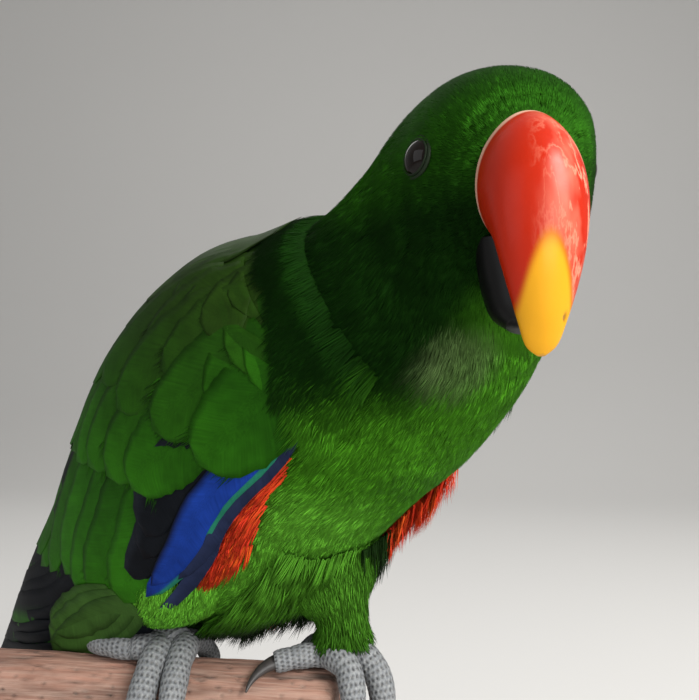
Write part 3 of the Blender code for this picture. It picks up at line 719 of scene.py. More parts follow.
def barb_mesh(name, sheet, shape, finish, rng, u, v, du, dv, low, high, length, width, colours):
    """One piece of barbs."""
    count = len(u)
    rings = len(shape)
    part = np.array(shape + (1.0,))
    places = [sheet.point(u + du * f, v + dv * f, low + (high - low) * f**0.8) for f in part]
    middle = np.stack(places, axis=1)
    ways = unit(np.gradient(middle, axis=1))
    ups = normals(sheet, u + du * 0.5, v + dv * 0.5)[:, None, :]
    across = unit(np.cross(ways, ups))
    up = np.cross(across, ways)
    up = up * np.sign(np.sum(up * ups, axis=2, keepdims=True))
    swell = np.interp(part[:rings], (0, 0.4, 1), (0.8, 1.0, 0.35)) * (1.6 if rings == 1 else 1.1)
    half = width[:, None, None] * swell[None, :, None] / 2
    c = middle[:, :rings]
    left = c - across[:, :rings] * half
    ridge = c + up[:, :rings] * half * 0.35
    right = c + across[:, :rings] * half
    sides = np.stack([left, ridge, right], axis=2).reshape(count, 3 * rings, 3)
    points = np.concatenate([sides, middle[:, rings:]], axis=1)
    flat = points.reshape(-1, 3)
    faces = barb_faces(rings)
    corner = flat[faces[0]]
    inner = points[0, :3].mean(axis=0) - corner[0]
    if np.dot(np.cross(corner[1] - corner[0], corner[2] - corner[0]), inner) > 0:
        faces = faces[:, ::-1]
    faces = (faces[None] + points.shape[1] * np.arange(count)[:, None, None]).reshape(-1, 3)
    x = np.array([-1, 0, 1] * rings + [0.0])
    along = np.append(np.repeat(part[:rings], 3), 1.0)
    shift = rng.uniform(0, 400, count)[:, None]
    vane_x = shift + x * width[:, None] / MM / 2
    vane_y = shift + along * length[:, None] / MM
    vane = np.stack([vane_x, vane_y], axis=2).reshape(-1, 2)
    # Painted shade: each barb is darker towards its root, down in the coat
    root_shade = (0.8 + 0.28 * along)[None, :, None]
    shades = np.clip((colours[:, None, :] * root_shade).reshape(-1, 3), 0, 1)
    root = 0.02 + 0.96 * np.stack([(v % 360) / 360, (u - u.min()) / (np.ptp(u) + 1e-9)], axis=1)
    patch = np.stack([x * 0.5, along - 0.5], axis=1)[None] * BAKE_PATCH
    bake = np.clip((root[:, None, :] + patch).reshape(-1, 2), 0, 1)
    return fill_mesh(name, flat, faces, finish, shades, vane, bake)


def barb_faces(rings):
    """Triangles of one barb, whose points are its rings of three and then its tip."""
    faces = []
    for a in range(0, 3 * rings - 3, 3):
        for i, j in ((0, 1), (1, 2), (2, 0)):
            faces += [(a + i, a + j, a + j + 3), (a + i, a + j + 3, a + i + 3)]
    end, tip = 3 * rings - 3, 3 * rings
    faces += [(end, end + 1, tip), (end + 1, end + 2, tip), (end + 2, end, tip), (0, 2, 1)]
    return np.array(faces)


def feather_spots(rng, sheet, start, end, gap):
    """Root places over a closed sheet from u start to u end, about gap apart, in staggered rows."""
    us, vs = [], []
    u = end
    row = 0
    around = np.linspace(0, 360, 73)
    while u > start:
        along, round_by = metric(sheet, np.full(73, u), around)
        ways = np.concatenate([[0], np.cumsum(round_by[1:] * 5)])
        count = max(int(ways[-1] / gap), 6)
        at = (np.arange(count) + 0.5 * (row % 2) + rng.uniform(-0.4, 0.4, count)) / count * ways[-1]
        v = np.interp(at % ways[-1], ways, around)
        step = gap * 0.9 / along.max()
        chosen = rng.uniform(0, 1, count) < np.interp(v, around, along) / along.max() * 1.15
        us.append(u + rng.uniform(-0.4, 0.4, count)[chosen] * step)
        vs.append(v[chosen])
        u -= step
        row += 1
    return np.concatenate(us), np.concatenate(vs)


def fans(rng, sheet, u, v, length, width, count, sway=0.0, loose=1.0):
    """Fans of barbs, one fan a feather: their roots, steps, lengths and tones."""
    n = len(u)
    q = np.linspace(-1, 1, count)[None] + rng.uniform(-0.7, 0.7, (n, count)) / count
    along, round_by = metric(sheet, u, v)
    along = np.maximum(along, 0.35 * np.median(along))[:, None]
    round_by = np.maximum(round_by, 0.25 * np.median(round_by))[:, None]
    reach = length[:, None] * (1 - 0.3 * q**2) * rng.normal(1, 0.08, (n, count))
    lean = (np.broadcast_to(sway, (n,)) + rng.normal(0, 0.06, n) * loose)[:, None]
    lean = lean + rng.normal(0, 0.05, (n, count)) * loose
    wide = width[:, None] * (0.95 + rng.normal(0, 0.05, (n, count)))
    root_v = v[:, None] + q * wide * 0.32 / round_by
    root_u = u[:, None] + 0.12 * reach * q**2 / along * np.sign(-sheet.flow)
    steps_u = sheet.flow * reach / along
    steps_v = (q * wide * 0.2 + reach * lean) / round_by
    tone = rng.normal(1, 0.05 * loose, n)[:, None] * rng.normal(1, 0.06 * loose, (n, count))
    root_u, root_v, steps_u, steps_v, reach, tone = (
        values.reshape(-1) for values in (root_u, root_v, steps_u, steps_v, reach, tone)
    )
    return (root_u, root_v), (steps_u, steps_v), reach, tone


# Large feathers


class Row(NamedTuple):
    """A row of like feathers on a wing's sheet. A pair holds the first feather's value and the last's.

    Roots and tips are (mm from the wrist, degrees round), widths and lifts are in mm, roll in degrees, lead
    is the part of the vane before the shaft, and bow the degrees that the shaft bends aside.
    """

    count: int
    root: tuple
    tip: tuple
    width: tuple
    lift: tuple
    tip_lift: tuple
    paint: str
    tip_shape: float
    roll: float
    lead: float
    bow: tuple = (0, 0)


WING_ROWS = [
    Row(6, ((52, -33), (58, -8)), ((202, 22), (174, 34)), (14, 15), (-1.5, -0.4), (-1.2, 0),
        "primary", 0.5, 3, 0.35, (-30, -18)),
    Row(4, ((58, -4), (62, 16)), ((170, 36), (150, 44)), (15, 15), (-0.3, 0.3), (0.1, 0.5),
        "primary", 0.5, 3, 0.4, (-14, -8)),
    Row(12, ((46, -16), (60, 73)), ((94, -30), (158, 74)), (16, 16), (0, 0.4), (0.6, 1.1),
        "wing", 0.42, 3, 0.45),
    Row(10, ((14, -15), (32, 69)), ((55, -13), (108, 70)), (20, 21), (0.5, 0.6), (1.9, 1.7),
        "wing", 0.5, 2, 0.5),
    Row(7, ((-4, -18), (8, 62)), ((30, -24), (72, 67)), (23, 24), (0.4, 0.5), (2.1, 2.0),
        "wing", 0.55, 2, 0.5),
    Row(8, ((-8, -22), (-2, 62)), ((14, -24), (52, 64)), (22, 22), (-0.2, 0.2), (1.4, 1.9),
        "wing", 0.6, 2, 0.5),
    Row(8, ((-13, -18), (-8, 60)), ((6, -16), (32, 62)), (20, 20), (-1.5, -0.9), (1.2, 1.8),
        "wing", 0.6, 2, 0.5),
    Row(7, ((-17, 6), (-13, 58)), ((2, 6), (18, 60)), (19, 19), (-2.8, -2.2), (0.6, 1.4),
        "wing", 0.6, 2, 0.5),
    Row(3, ((12, -26), (14, -20)), ((82, -31), (62, -24)), (12, 15), (0.3, 0.6), (0.4, 0.9),
        "inner", 0.4, 3, 0.4),
    Row(3, ((92, -34), (94, -26)), ((140, -20), (128, -8)), (17, 16), (0.3, 0.5), (1.0, 1.6),
        "under", 0.45, 3, 0.5),
    Row(2, ((1, -28), (3, -26)), ((84, -36), (76, -33)), (8.5, 9), (0.2, 0.4), (1.0, 1.3),
        "blue", 0.4, 3, 0.5, (-4, -4)),
    Row(2, ((-2, -32), (0, -31)), ((86, -41), (72, -40)), (4.5, 5), (-0.8, -0.6), (0.9, 1.1),
        "indigo", 0.4, 3, 0.5, (-5, -5)),
    Row(7, ((-14, 50), (-6, 84)), ((36, 46), (64, 84)), (20, 21), (0.2, 0.6), (2.2, 3.0),
        "mantle", 0.5, 3, 0.5),
]
# The radius of a vane's curve across and its thickness, in mm, on a wing and on the tail
WING_VANE = (60, 0.13)
TAIL_VANE = (90, 0.2)
VANE_ROWS = 18
VANE_COLS = 9


def slab_faces(rows, cols):
    """Triangles of a closed slab, whose points are a grid on top and then the same grid below."""
    n = rows * cols
    quads = []
    for r in range(rows - 1):
        for c in range(cols - 1):
            a = r * cols + c
            quads.append((a, a + 1, a + cols + 1, a + cols))
            quads.append((n + a, n + a + cols, n + a + cols + 1, n + a + 1))
    rim = list(range(cols)) + [r * cols + cols - 1 for r in range(1, rows)]
    rim += [(rows - 1) * cols + c for c in range(cols - 2, -1, -1)]
    rim += [r * cols for r in range(rows - 2, 0, -1)]
    for a, b in zip(rim, rim[1:] + rim[:1]):
        quads.append((b, a, n + a, n + b))
    quads = np.array(quads)
    return np.concatenate([quads[:, [0, 1, 2]], quads[:, [0, 2, 3]]])


def vane_grid(place, up_at, width, lead, tip_shape, roll, vane, side, rng):
    """A closed thin feather: points, faces, and each point's place across, along and in metres across."""
    camber, thick = (size * MM for size in vane)
    f = np.linspace(0, 1, VANE_ROWS)
    centre = place(f)
    way = unit(np.gradient(centre, axis=0))
    up = up_at(f)
    across = unit(np.cross(way, up)) * side
    up = unit(np.cross(across, way)) * side
    up = up * np.sign(np.sum(up * up_at(f), axis=1, keepdims=True))
    tip = np.clip((f - (1 - tip_shape)) / tip_shape, 0, 1)
    part = 0.6 + 0.4 * np.sin(np.clip(f / 0.35, 0, 1) * math.pi / 2)
    part = np.maximum(part * np.sqrt(np.clip(1 - tip**2.2, 0.0, 1)), 0.03)
    ragged = 1 + 0.03 * rng.standard_normal(VANE_ROWS) * (f > 0.3)
    x = np.linspace(-1, 1, VANE_COLS)
    out = np.where(x < 0, x * width * lead, x * width * (1 - lead))
    spread = (part * ragged)[:, None] * out[None, :]
    rise = -(spread**2) / (2 * camber) + np.tan(roll) * spread
    middle = centre[:, None] + across[:, None] * spread[..., None]
    crown = thick * (0.35 + 0.65 * (1 - x**2))[None]
    top = middle + up[:, None] * (rise + crown)[..., None]
    bottom = middle + up[:, None] * (rise - thick * 0.35)[..., None]
    points = np.concatenate([top.reshape(-1, 3), bottom.reshape(-1, 3)])
    faces = slab_faces(VANE_ROWS, VANE_COLS)
    one = points[faces[0]]
    if np.dot(np.cross(one[1] - one[0], one[2] - one[0]), up[0]) < 0:
        faces = faces[:, ::-1]
    xs = np.tile(x, 2 * VANE_ROWS)
    fs = np.tile(np.repeat(f, VANE_COLS), 2)
    return points, faces, xs, fs, np.tile(spread.reshape(-1), 2)


def soft(low, high, value):
    """An even ease from 0 at low to 1 at high, as a column."""
    return smooth(np.clip((value - low) / (high - low), 0, 1))[:, None]


def feather_colours(kind, xs, fs, part, tone, along):
    """The colours of one large feather by its place across (-1 the leading edge) and from root to tip."""
    # Painted shade: the mantle's and wing's feathers are darker at their roots and, with the under feathers,
    # at their rims, where feathers overlap and shade falls between them
    if kind == "mantle":
        base = np.tile(hue("mantle") * 1.5 * tone, (len(xs), 1)) * (0.8 + 0.5 * fs)[:, None]
        return base * (1 - 0.75 * soft(0.72, 0.98, np.abs(xs)))
    if kind == "wing":
        base = np.tile(hue("wing") * tone, (len(xs), 1)) * (0.8 + 0.3 * fs)[:, None]
        base = base + (hue("wing_tip") - base) * 0.3 * soft(0.35, 0.95, fs) * (1 - 0.5 * part)
        base = base * (1 - 0.25 * soft(0.8, 1.0, np.abs(xs)))
        # Painted shade: feathers high on the wing and near its front are darkened and mixed towards the
        # mantle's dark colour, where they lie in shade
        top = np.clip((part - 0.05) / 0.25, 0, 1) * np.clip(1 - (along - 14) / 50, 0, 1)
        shaded = np.clip(0.6 * part**1.5 + 0.92 * top, 0, 0.94)[:, None]
        base = base * (1 - 0.4 * np.clip(1 - along / 70, 0, 1))[:, None]
        return base + (hue("mantle") * 0.9 - base) * shaded
    if kind == "under":
        return np.tile(hue("undertail") * tone, (len(xs), 1)) * (1 - 0.4 * soft(0.6, 1.0, np.abs(xs)))
    if kind == "primary":
        edge = soft(-0.4, 0.3, -xs) * soft(128, 138, along) * (1 - soft(165, 175, along)) * (0.8 * part)
        return hue("black") * (1 - edge) + hue("wing_tip") * edge
    if kind == "inner":
        return np.tile(hue("black"), (len(xs), 1)) * (1 + 1.5 * soft(0.5, 1.0, xs))
    if kind == "indigo":
        return np.tile(hue("indigo"), (len(xs), 1)) * (0.8 + 0.4 * soft(-1, 1, xs))
    base = np.tile(hue("blue") * (0.85 + 0.2 * tone), (len(xs), 1)) * (1.15 - 0.35 * fs)[:, None]
    rim = soft(0.45, 0.8, -xs) * (1 - part)
    inner = soft(0.55, 0.95, xs) * part
    base = base * (1 - rim) + hue("teal") * rim
    return base * (1 - inner) + hue("black") * inner


def join_grids(name, parts, finish):
    """One object from grids, each given as points, faces, colours and vane map."""
    points, faces, colours, vane = zip(*parts)
    starts = np.cumsum([0] + [len(grid) for grid in points[:-1]])
    faces = np.concatenate([grid + start for grid, start in zip(faces, starts)])
    colours = np.clip(np.concatenate(colours), 0, 1)
    return fill_mesh(name, np.concatenate(points), faces, finish, colours, np.concatenate(vane))


def barb_map(xs, fs, widths, length, shift):
    """Millimetres across the barbs, which leave the shaft at a slant, and along them."""
    x = np.abs(widths) / MM
    s = fs * length / MM
    return np.stack([shift + s * 0.8 - x * 0.7, shift + x * 0.8 + np.sign(xs) * 40], axis=1)


def between(pair, part):
    """A value part of the way from the first of a pair to the last."""
    return pair[0] + (pair[1] - pair[0]) * part


def wing_parts(side, rng):
    """A wing's large feathers, and the places along the soft ends of its coverts."""
    lie = WingLie(side)
    parts, ends = [], []
    for row in WING_ROWS:
        for number in range(row.count):
            part = number / (row.count - 1)
            jitter = rng.normal(0, 1, 4)
            a0, r0 = (between(pair, part) for pair in zip(*row.root))
            a1, r1 = (between(pair, part) for pair in zip(*row.tip))
            a1 += jitter[0] * 1.5
            r1 += jitter[1] * 1.2
            width = between(row.width, part) * MM * (1 + 0.04 * jitter[2])
            low = between(row.lift, part) * MM
            high = (between(row.tip_lift, part) + 0.12 * jitter[3]) * MM
            bow = between(row.bow, part)

            def shaft(f):
                return (a0 + (a1 - a0) * f) * MM, r0 + (r1 - r0) * f + bow * 4 * f * (1 - f)

            def place(f):
                return lie.point(*shaft(f), low + (high - low) * f)

            def up_at(f):
                return normals(lie, *shaft(f))

            roll = math.radians(row.roll)
            grid = vane_grid(place, up_at, width, row.lead, row.tip_shape, roll, WING_VANE, side, rng)
            points, faces, xs, fs, widths = grid
            if row.paint == "wing":
                part = min(max((r1 + 20) / 92, 0), 1)
            tone = 1 + 0.09 * rng.standard_normal()
            colours = feather_colours(row.paint, xs, fs, part, tone, a0 + (a1 - a0) * fs)
            vane = barb_map(xs, fs, widths, abs(a1 - a0) * MM, rng.uniform(0, 500))
            parts.append((points, faces, colours, vane))
            if row.paint in ("wing", "mantle"):
                ends.append((row, part, a0, a1, r0, r1, width, low, high))
    return lie, parts, ends


def wing_core_part(lie):
    """The wing's body under its feathers: f runs from its front edge to its end, u from below to above."""
    rows, cols = 26, 26
    f, u = np.meshgrid(np.linspace(0, 1, rows), np.linspace(0, 1, cols), indexing="ij")
    along = (-12 + 83 * f) * MM
    angle = (-34 + 6 * f) * (1 - u) + (54 + 22 * f) * u
    tail = np.maximum(f - 0.55, 0) / 0.45
    swell = -5 + 8.6 * np.sin(np.minimum(f / 0.4, 1) * math.pi / 2) - 3.6 * tail
    depth = 9 - 7.6 * tail
    crown = np.sqrt(np.clip(1 - (2 * u - 1) ** 2, 0, 1))
    edge = -2.2 * (1 - crown) * (1 - f)
    outer = lie.point(along, angle, (swell * crown + edge - 2.4) * MM)
    inner = lie.point(along, angle, -(depth + np.maximum(-swell, 0)) * MM)
    points = np.concatenate([outer.reshape(-1, 3), inner.reshape(-1, 3)])
    faces = slab_faces(rows, cols)
    mid = (rows // 2) * cols + cols // 2
    tri = points[[mid, mid + 1, mid + cols + 1]]
    if np.dot(np.cross(tri[1] - tri[0], tri[2] - tri[0]), points[mid] - points[rows * cols + mid]) < 0:
        faces = faces[:, ::-1]
    # The core is painted darker than the feathers over it, as painted shade under them
    colours = np.tile(hue("wing") * 0.6, (len(points), 1))
    return points, faces, colours, np.zeros((len(points), 2))


class PARROT_OT_skin(Operator):
    """Model the skin under the feathers as one piece"""

    bl_idname = "parrot.skin"
    bl_label = "Skin"

    def execute(self, context):
        finish = feather_finish("down_green", 3.0, 0.25, 0.75)
        t = np.concatenate([np.linspace(0, BODY.last, 110), BODY.last + np.linspace(0.15, 1, 10)])[:, None]
        angle = np.linspace(0, 360, 72, endpoint=False)[None]
        inset = -sizes().coat_depth * np.interp(t, (8, 10), (1, 0.55))
        pieces = [rolled("skin", BODY.point(t, angle, inset), finish)]
        for stations in THIGHS.values():
            leg = Leg(stations)
            t = np.linspace(0, leg.last, 40)[:, None]
            angle = np.linspace(0, 360, 36, endpoint=False)[None]
            pieces.append(rolled("thigh", leg.point(t, angle, -THIGH_INSET * MM), finish))
        body = joined(pieces)
        body.data.remesh_voxel_size = 1.8 * MM
        bpy.ops.object.voxel_remesh()
        ease = body.modifiers.new("smooth", "SMOOTH")
        ease.iterations = 4
        bpy.ops.object.modifier_apply(modifier=ease.name)
        bpy.ops.object.shade_smooth()
        body.data.materials.clear()
        body.data.materials.append(finish)
        # The skin is painted darker than the coat over it: painted shade
        paint(body.data, plumage(positions(body.data)) * SKIN_SHADE)
        body.data.uv_layers.new(name="vane")
        finished(body, "breast_feather", "torso", "neck", "head", "thigh_right", "thigh_left")
        return {"FINISHED"}


# Bands of small feathers along the body: name, first and last station, gap in mm, barbs a feather, slot
# and kind of barb
COAT_BANDS = [
    ("vent_coat", 0.15, 2.6, 3.2, 10, "breast_feather", LONG_BARB),
    ("belly_coat", 2.6, 4.4, 2.6, 11, "breast_feather", LONG_BARB),
    ("breast_coat", 4.4, 6.6, 2.4, 11, "breast_feather", LONG_BARB),
    ("neck_coat", 6.6, 8.6, 2.0, 9, "breast_feather", LONG_BARB),
    ("head_coat", 8.6, 9.9, 1.45, 8, "head_feather", SHORT_BARB),
    ("face_coat", 9.9, 11.8, 1.15, 7, "head_feather", SHORT_BARB),
]
# By station of the body: a feather's length and width, its barbs' width and how deep they root, in mm, and
# how loosely it lies
COAT_LENGTHS = (0, 2.4, 3, 6.5, 8.5, 10, 11, 12), (15, 13, 10.5, 9, 6, 3.9, 2.9, 2.0)
COAT_WIDTHS = (0, 3, 6.5, 8.5, 10, 11, 12), (7.5, 6.2, 5, 3.4, 2.4, 1.9, 1.4)
COAT_BARBS = (0, 3, 6.5, 8.5, 10, 12), (0.6, 0.5, 0.46, 0.42, 0.34, 0.29)
COAT_ROOTS = (0, 8, 10, 11.7), (1.3, 1.1, 0.7, 0.3)
COAT_LOOSE = (0, 6, 9, 11), (0.9, 0.7, 0.22, 0.15)
# Barbs and width in mm of a loose feather's fan
SPRAY_BARBS = 12
SPRAY_WIDTH = 0.5
# The middle of the right flank's red by station, in degrees round, and its half width
FLANK_LINE = (3.2, 3.7, 4.2, 5.0, 5.6, 6.1), (327, 319, 315, 321, 330, 336)
FLANK_REACH = (3.2, 4.2, 5.2, 6.1), (6, 7, 5, 2.5)
# Where the shoulder's feathers start, in mm from the wrist by degrees round the wing
SHOULDER_EDGE = (-36, -28, -24, -15, -5, 12, 40), (4, 4, 2, -4, -9, -13, -12)
SHOULDER_FEATHERS = 560


class PARROT_OT_coat(Operator):
    """Cover the head, neck and body with small feathers, each a fan of fine barbs"""

    bl_idname = "parrot.coat"
    bl_label = "Body Feathers"

    def execute(self, context):
        rng = np.random.default_rng(sizes().seed)
        finish = feather_finish("coat_green", 2.2, 0.25, 0.65)
        for name, start, end, gap, count, slot, shape in COAT_BANDS:
            u, v = feather_spots(rng, BODY, start, end, gap * sizes().gap * MM)
            side = (v + 180) % 360 - 180
            under = np.where(np.abs(side) > 90, 180 - np.abs(side), np.abs(side)) * np.sign(side)
            open_to_air = ~((under > -12) & (under < 50) & (u < 6.3))
            self.feathers(name, u[open_to_air], v[open_to_air], count, finish, rng, slot, shape)
        self.flanks(finish, rng)
        self.fringes(finish, rng)
        self.shoulders(finish, rng)
        return {"FINISHED"}

    def feathers(self, name, u, v, count, finish, rng, slot, shape):
        """Small feathers rooted at (u, v), which hang free below the vent."""
        reach = np.interp(u, *COAT_LENGTHS) * MM
        wide = np.interp(u, *COAT_WIDTHS) * MM
        swirl = 0.16 * np.sin(u * 4.1 + v / 23) + 0.1 * np.sin(u * 9 - v / 11)
        loose = np.interp(u, *COAT_LOOSE)
        spread = loose.mean() + 0.1
        roots, steps, length, tone = fans(rng, BODY, u, v, reach, wide, count, swirl * loose, spread)
        hang = np.clip(2.2 - roots[0], 0, 1) * (np.sin(np.radians(roots[1])) < -0.2)
        low = -np.interp(roots[0], *COAT_ROOTS) * MM
        tip = np.repeat(rng.uniform(-0.35, 0.3, len(u)), count)
        tip = tip + rng.uniform(-0.2, 0.25, len(tone)) + 2.5 * hang
        width = np.interp(roots[0], *COAT_BARBS) * MM
        length = length * (1 + 0.5 * hang)
        steps = (np.maximum(steps[0] * (1 + 0.5 * hang), -0.9), steps[1])
        colours = plumage(BODY.point(*roots)) * tone[:, None]
        lifts = (low, tip * np.repeat(loose, count) * MM)
        barbs(name, BODY, roots, steps, length, width, lifts, colours, finish, rng, slot, shape)

    def spray(self, name, sheet, u, v, reach, wide, lifts, colours, finish, rng, sway=0.0):
        """Fans of barbs that stand off a sheet, with the lifts of their roots and tips in mm."""
        wides = np.full(len(u), wide * MM)
        roots, steps, length, tone = fans(rng, sheet, u, v, reach * MM, wides, SPRAY_BARBS, sway)
        steps = (np.clip(steps[0], -0.95, 0.95), steps[1])
        lifts = [(np.repeat(lift, SPRAY_BARBS) + rng.uniform(-0.3, 0.3, len(tone))) * MM for lift in lifts]
        shades = np.repeat(colours, SPRAY_BARBS, axis=0) * tone[:, None]
        width = np.full(len(tone), SPRAY_WIDTH * MM)
        barbs(name, sheet, roots, steps, length, width, lifts, shades, finish, rng, "breast_feather")

    def flanks(self, finish, rng):
        """The red feathers that show under each folded wing."""
        for side, number in (("right", 260), ("left", 300)):
            f = rng.uniform(0, 1, number)
            if side == "right":
                u = 6.1 - 2.9 * f
                v = np.interp(u, *FLANK_LINE) + rng.uniform(-1, 1, number) * np.interp(u, *FLANK_REACH)
                lifts = rng.uniform(0.6, 1.4, number), rng.uniform(1.4, 2.6, number)
            else:
                u = 5.5 - 3.0 * f
                v = 231 + 16 * f + rng.uniform(-10, 8, number)
                lifts = rng.uniform(0.5, 2, number), rng.uniform(4.5, 9, number)
            orange = np.clip(rng.normal(0.1, 0.25, number), 0, 0.8)[:, None]
            colours = hue("red") * (1 - orange) + hue("orange") * orange
            reach = rng.normal(13, 1, number)
            self.spray("flank_" + side, BODY, u, v, reach, 6, lifts, colours, finish, rng)

    def fringes(self, finish, rng):
        """The loose feathers that hang below the belly, before the tail and beside it; those below the belly
        and vent are darkened as painted shade.
        """
        for name, number, stations, degrees, drops, length, colour in (
            ("belly_fringe", 300, (1.9, 4.3), (258, 296), (1.5, 6), 13, hue("belly") * 0.12),
            ("vent_fringe", 260, (1.9, 4.3), (242, 262), (6, 11.5), 17, hue("vent") * 2),
            ("rump_fringe", 120, (0.5, 1.9), (286, 326), (3, 7), 19, hue("wing") * 1.5),
        ):
            u = rng.uniform(*stations, number)
            v = rng.uniform(*degrees, number)
            drop = rng.uniform(*drops, number)
            own = plumage(BODY.point(u, v)) * 0.95 if name == "belly_fringe" else colour
            colours = (colour + own) * 0.5 * rng.normal(1, 0.1, number)[:, None]
            reach = rng.normal(length, 1.5, number)
            self.spray(name, BODY, u, v, reach, 7, (drop * 0.12, drop), colours, finish, rng)

    def shoulders(self, finish, rng):
        """Breast feathers that lie over the front edge of each wing."""
        for side, name in ((1, "right"), (-1, "left")):
            lie = WingLie(side)
            around = rng.uniform(-42, 68, SHOULDER_FEATHERS)
            edge = np.interp(around, *SHOULDER_EDGE)
            back = rng.uniform(0, 1, SHOULDER_FEATHERS)
            along = np.maximum(edge - 7, -20) * (1 - back) - 21 * back
            f = np.clip((along + 20) / 16, 0, 1)
            lifts = -3.4 + 3.0 * f, 0.2 + 1.6 * f
            u = along * MM
            colours = plumage(lie.point(u, around))
            reach = rng.normal(9, 0.8, SHOULDER_FEATHERS)
            label = "shoulder_coat_" + name
            self.spray(label, lie, u, around, reach, 5.5, lifts, colours, finish, rng, -0.12)


class PARROT_OT_leg_coat(Operator):
    """Cover the thighs with soft feathers, painted light on the right thigh and painted shade on the left"""

    bl_idname = "parrot.leg_coat"
    bl_label = "Leg Feathers"

    def execute(self, context):
        rng = np.random.default_rng(sizes().seed + 1)
        finish = feather_finish("leg_green", 2.2, 0.25, 0.7)
        for side, stations in THIGHS.items():
            leg = Leg(stations + [THIGH_FRINGES[side]])
            u, v = feather_spots(rng, leg, 0.1, leg.last - 0.75, 2.5 * sizes().gap * MM)
            reach = np.interp(u, (0, 2, 3), (12, 9.5, 8)) * MM
            wides = np.full(len(u), 6 * MM)
            roots, steps, length, tone = fans(rng, leg, u, v, reach, wides, LEG_BARBS, 0.0, 1.6)
            steps = (np.minimum(steps[0], leg.last - roots[0]), steps[1])
            n = len(tone)
            end = np.clip(roots[0] + steps[0] - leg.last + 1.3, 0, 1.3)
            tip = (rng.uniform(-0.3, 0.7, n) - 1.6 * end * rng.uniform(0.3, 1, n)) * MM
            # The thighs' painted light and shade
            part, light = LEG_PAINTED_LIGHT[side]
            base = plumage(leg.point(*roots)) * light
            colours = (base + (hue("belly") - base) * part) * tone[:, None]
            width = np.full(n, SOFT_BARB * MM)
            lifts = (np.full(n, -THIGH_INSET * MM), tip)
            label, slot = "leg_coat_" + side, "leg_feather"
            barbs(label, leg, roots, steps, length, width, lifts, colours, finish, rng, slot)
        return {"FINISHED"}


class PARROT_OT_wings(Operator):
    """Lay the folded wings feather by feather"""

    bl_idname = "parrot.wings"
    bl_label = "Wings"

    def execute(self, context):
        rng = np.random.default_rng(sizes().seed + 2)
        finish = feather_finish("wing_green", 1.6, 0.16, 0.55)
        for side, name in ((1, "right"), (-1, "left")):
            lie, parts, ends = wing_parts(side, rng)
            parts.append(wing_core_part(lie))
            obj = join_grids("plumed_wing_" + name, parts, finish)
            finished(obj, "wing_feather", "wing_" + name)
            self.soft_ends(name, lie, ends, finish, rng)
        return {"FINISHED"}

    def soft_ends(self, name, lie, ends, finish, rng):
        """Loose barbs over each covert's vane and past its rim."""
        found = []
        for row, part, a0, a1, r0, r1, width, lift, tip_lift in ends:
            count = int(260 * width / (18 * MM))
            f = 1 - rng.uniform(0.18, 0.9, count) ** 1.3
            tip = np.clip((f - (1 - row.tip_shape)) / row.tip_shape, 0, 1)
            half = np.sqrt(np.clip(1 - tip**2.2, 0.02, 1))
            x = rng.uniform(-0.97, 0.97, count) * half
            middle = (a0 + (a1 - a0) * f) * MM
            around = r0 + (r1 - r0) * f
            _, round_by = metric(lie, middle, around)
            offset = x * width * 0.5
            reach = rng.uniform(4.0, 7.0, count) * MM
            lean = 0.16 * np.sign(x) * np.abs(x) ** 0.6 + rng.normal(0, 0.06, count)
            rise = lift + (tip_lift - lift) * f - offset**2 / (2 * WING_VANE[0] * MM)
            rise = rise + math.tan(math.radians(row.roll)) * offset
            high = rise + rng.uniform(0.1, 0.3, count) * MM
            shades = feather_colours(row.paint, x, f, part, 1.0, middle / MM)
            shades = shades * rng.normal(1.04, 0.08, count)[:, None]
            v = around + offset / round_by
            found.append((middle, v, reach * 0.97, reach * lean / round_by, rise, high, reach, shades))
        u, v, du, dv, low, high, length, colours = (np.concatenate(values) for values in zip(*found))
        width = np.full(len(u), WING_BARB * MM)
        roots, steps, lifts = (u, v), (du, dv), (low, high)
        label, slot = "wing_barbs_" + name, "wing_feather"
        barbs(label, lie, roots, steps, length, width, lifts, colours, finish, rng, slot, SHORT_BARB)


# The tail's feathers: pairs, length in mm of the middle ones, width, and degrees between neighbours
TAIL_PAIRS = 6
TAIL_LENGTH = 112
TAIL_WIDTH = 19
TAIL_SPREAD = 1.55
# The large coverts over and under the tail's root: side, lift and length in mm
TAIL_COVERTS = ((1, 5.4, 44), (-1, -8.4, 60))
# The cone of soft coverts round the root: mm along the tail, half width and half height
COVERT_CONE = ((84, 5, 1), (62, 7.5, 1.5), (44, 10, 3), (24, 13, 7.5), (8, 13.5, 9.5), (-9, 13, 10.5))
COVERT_BARBS = 12


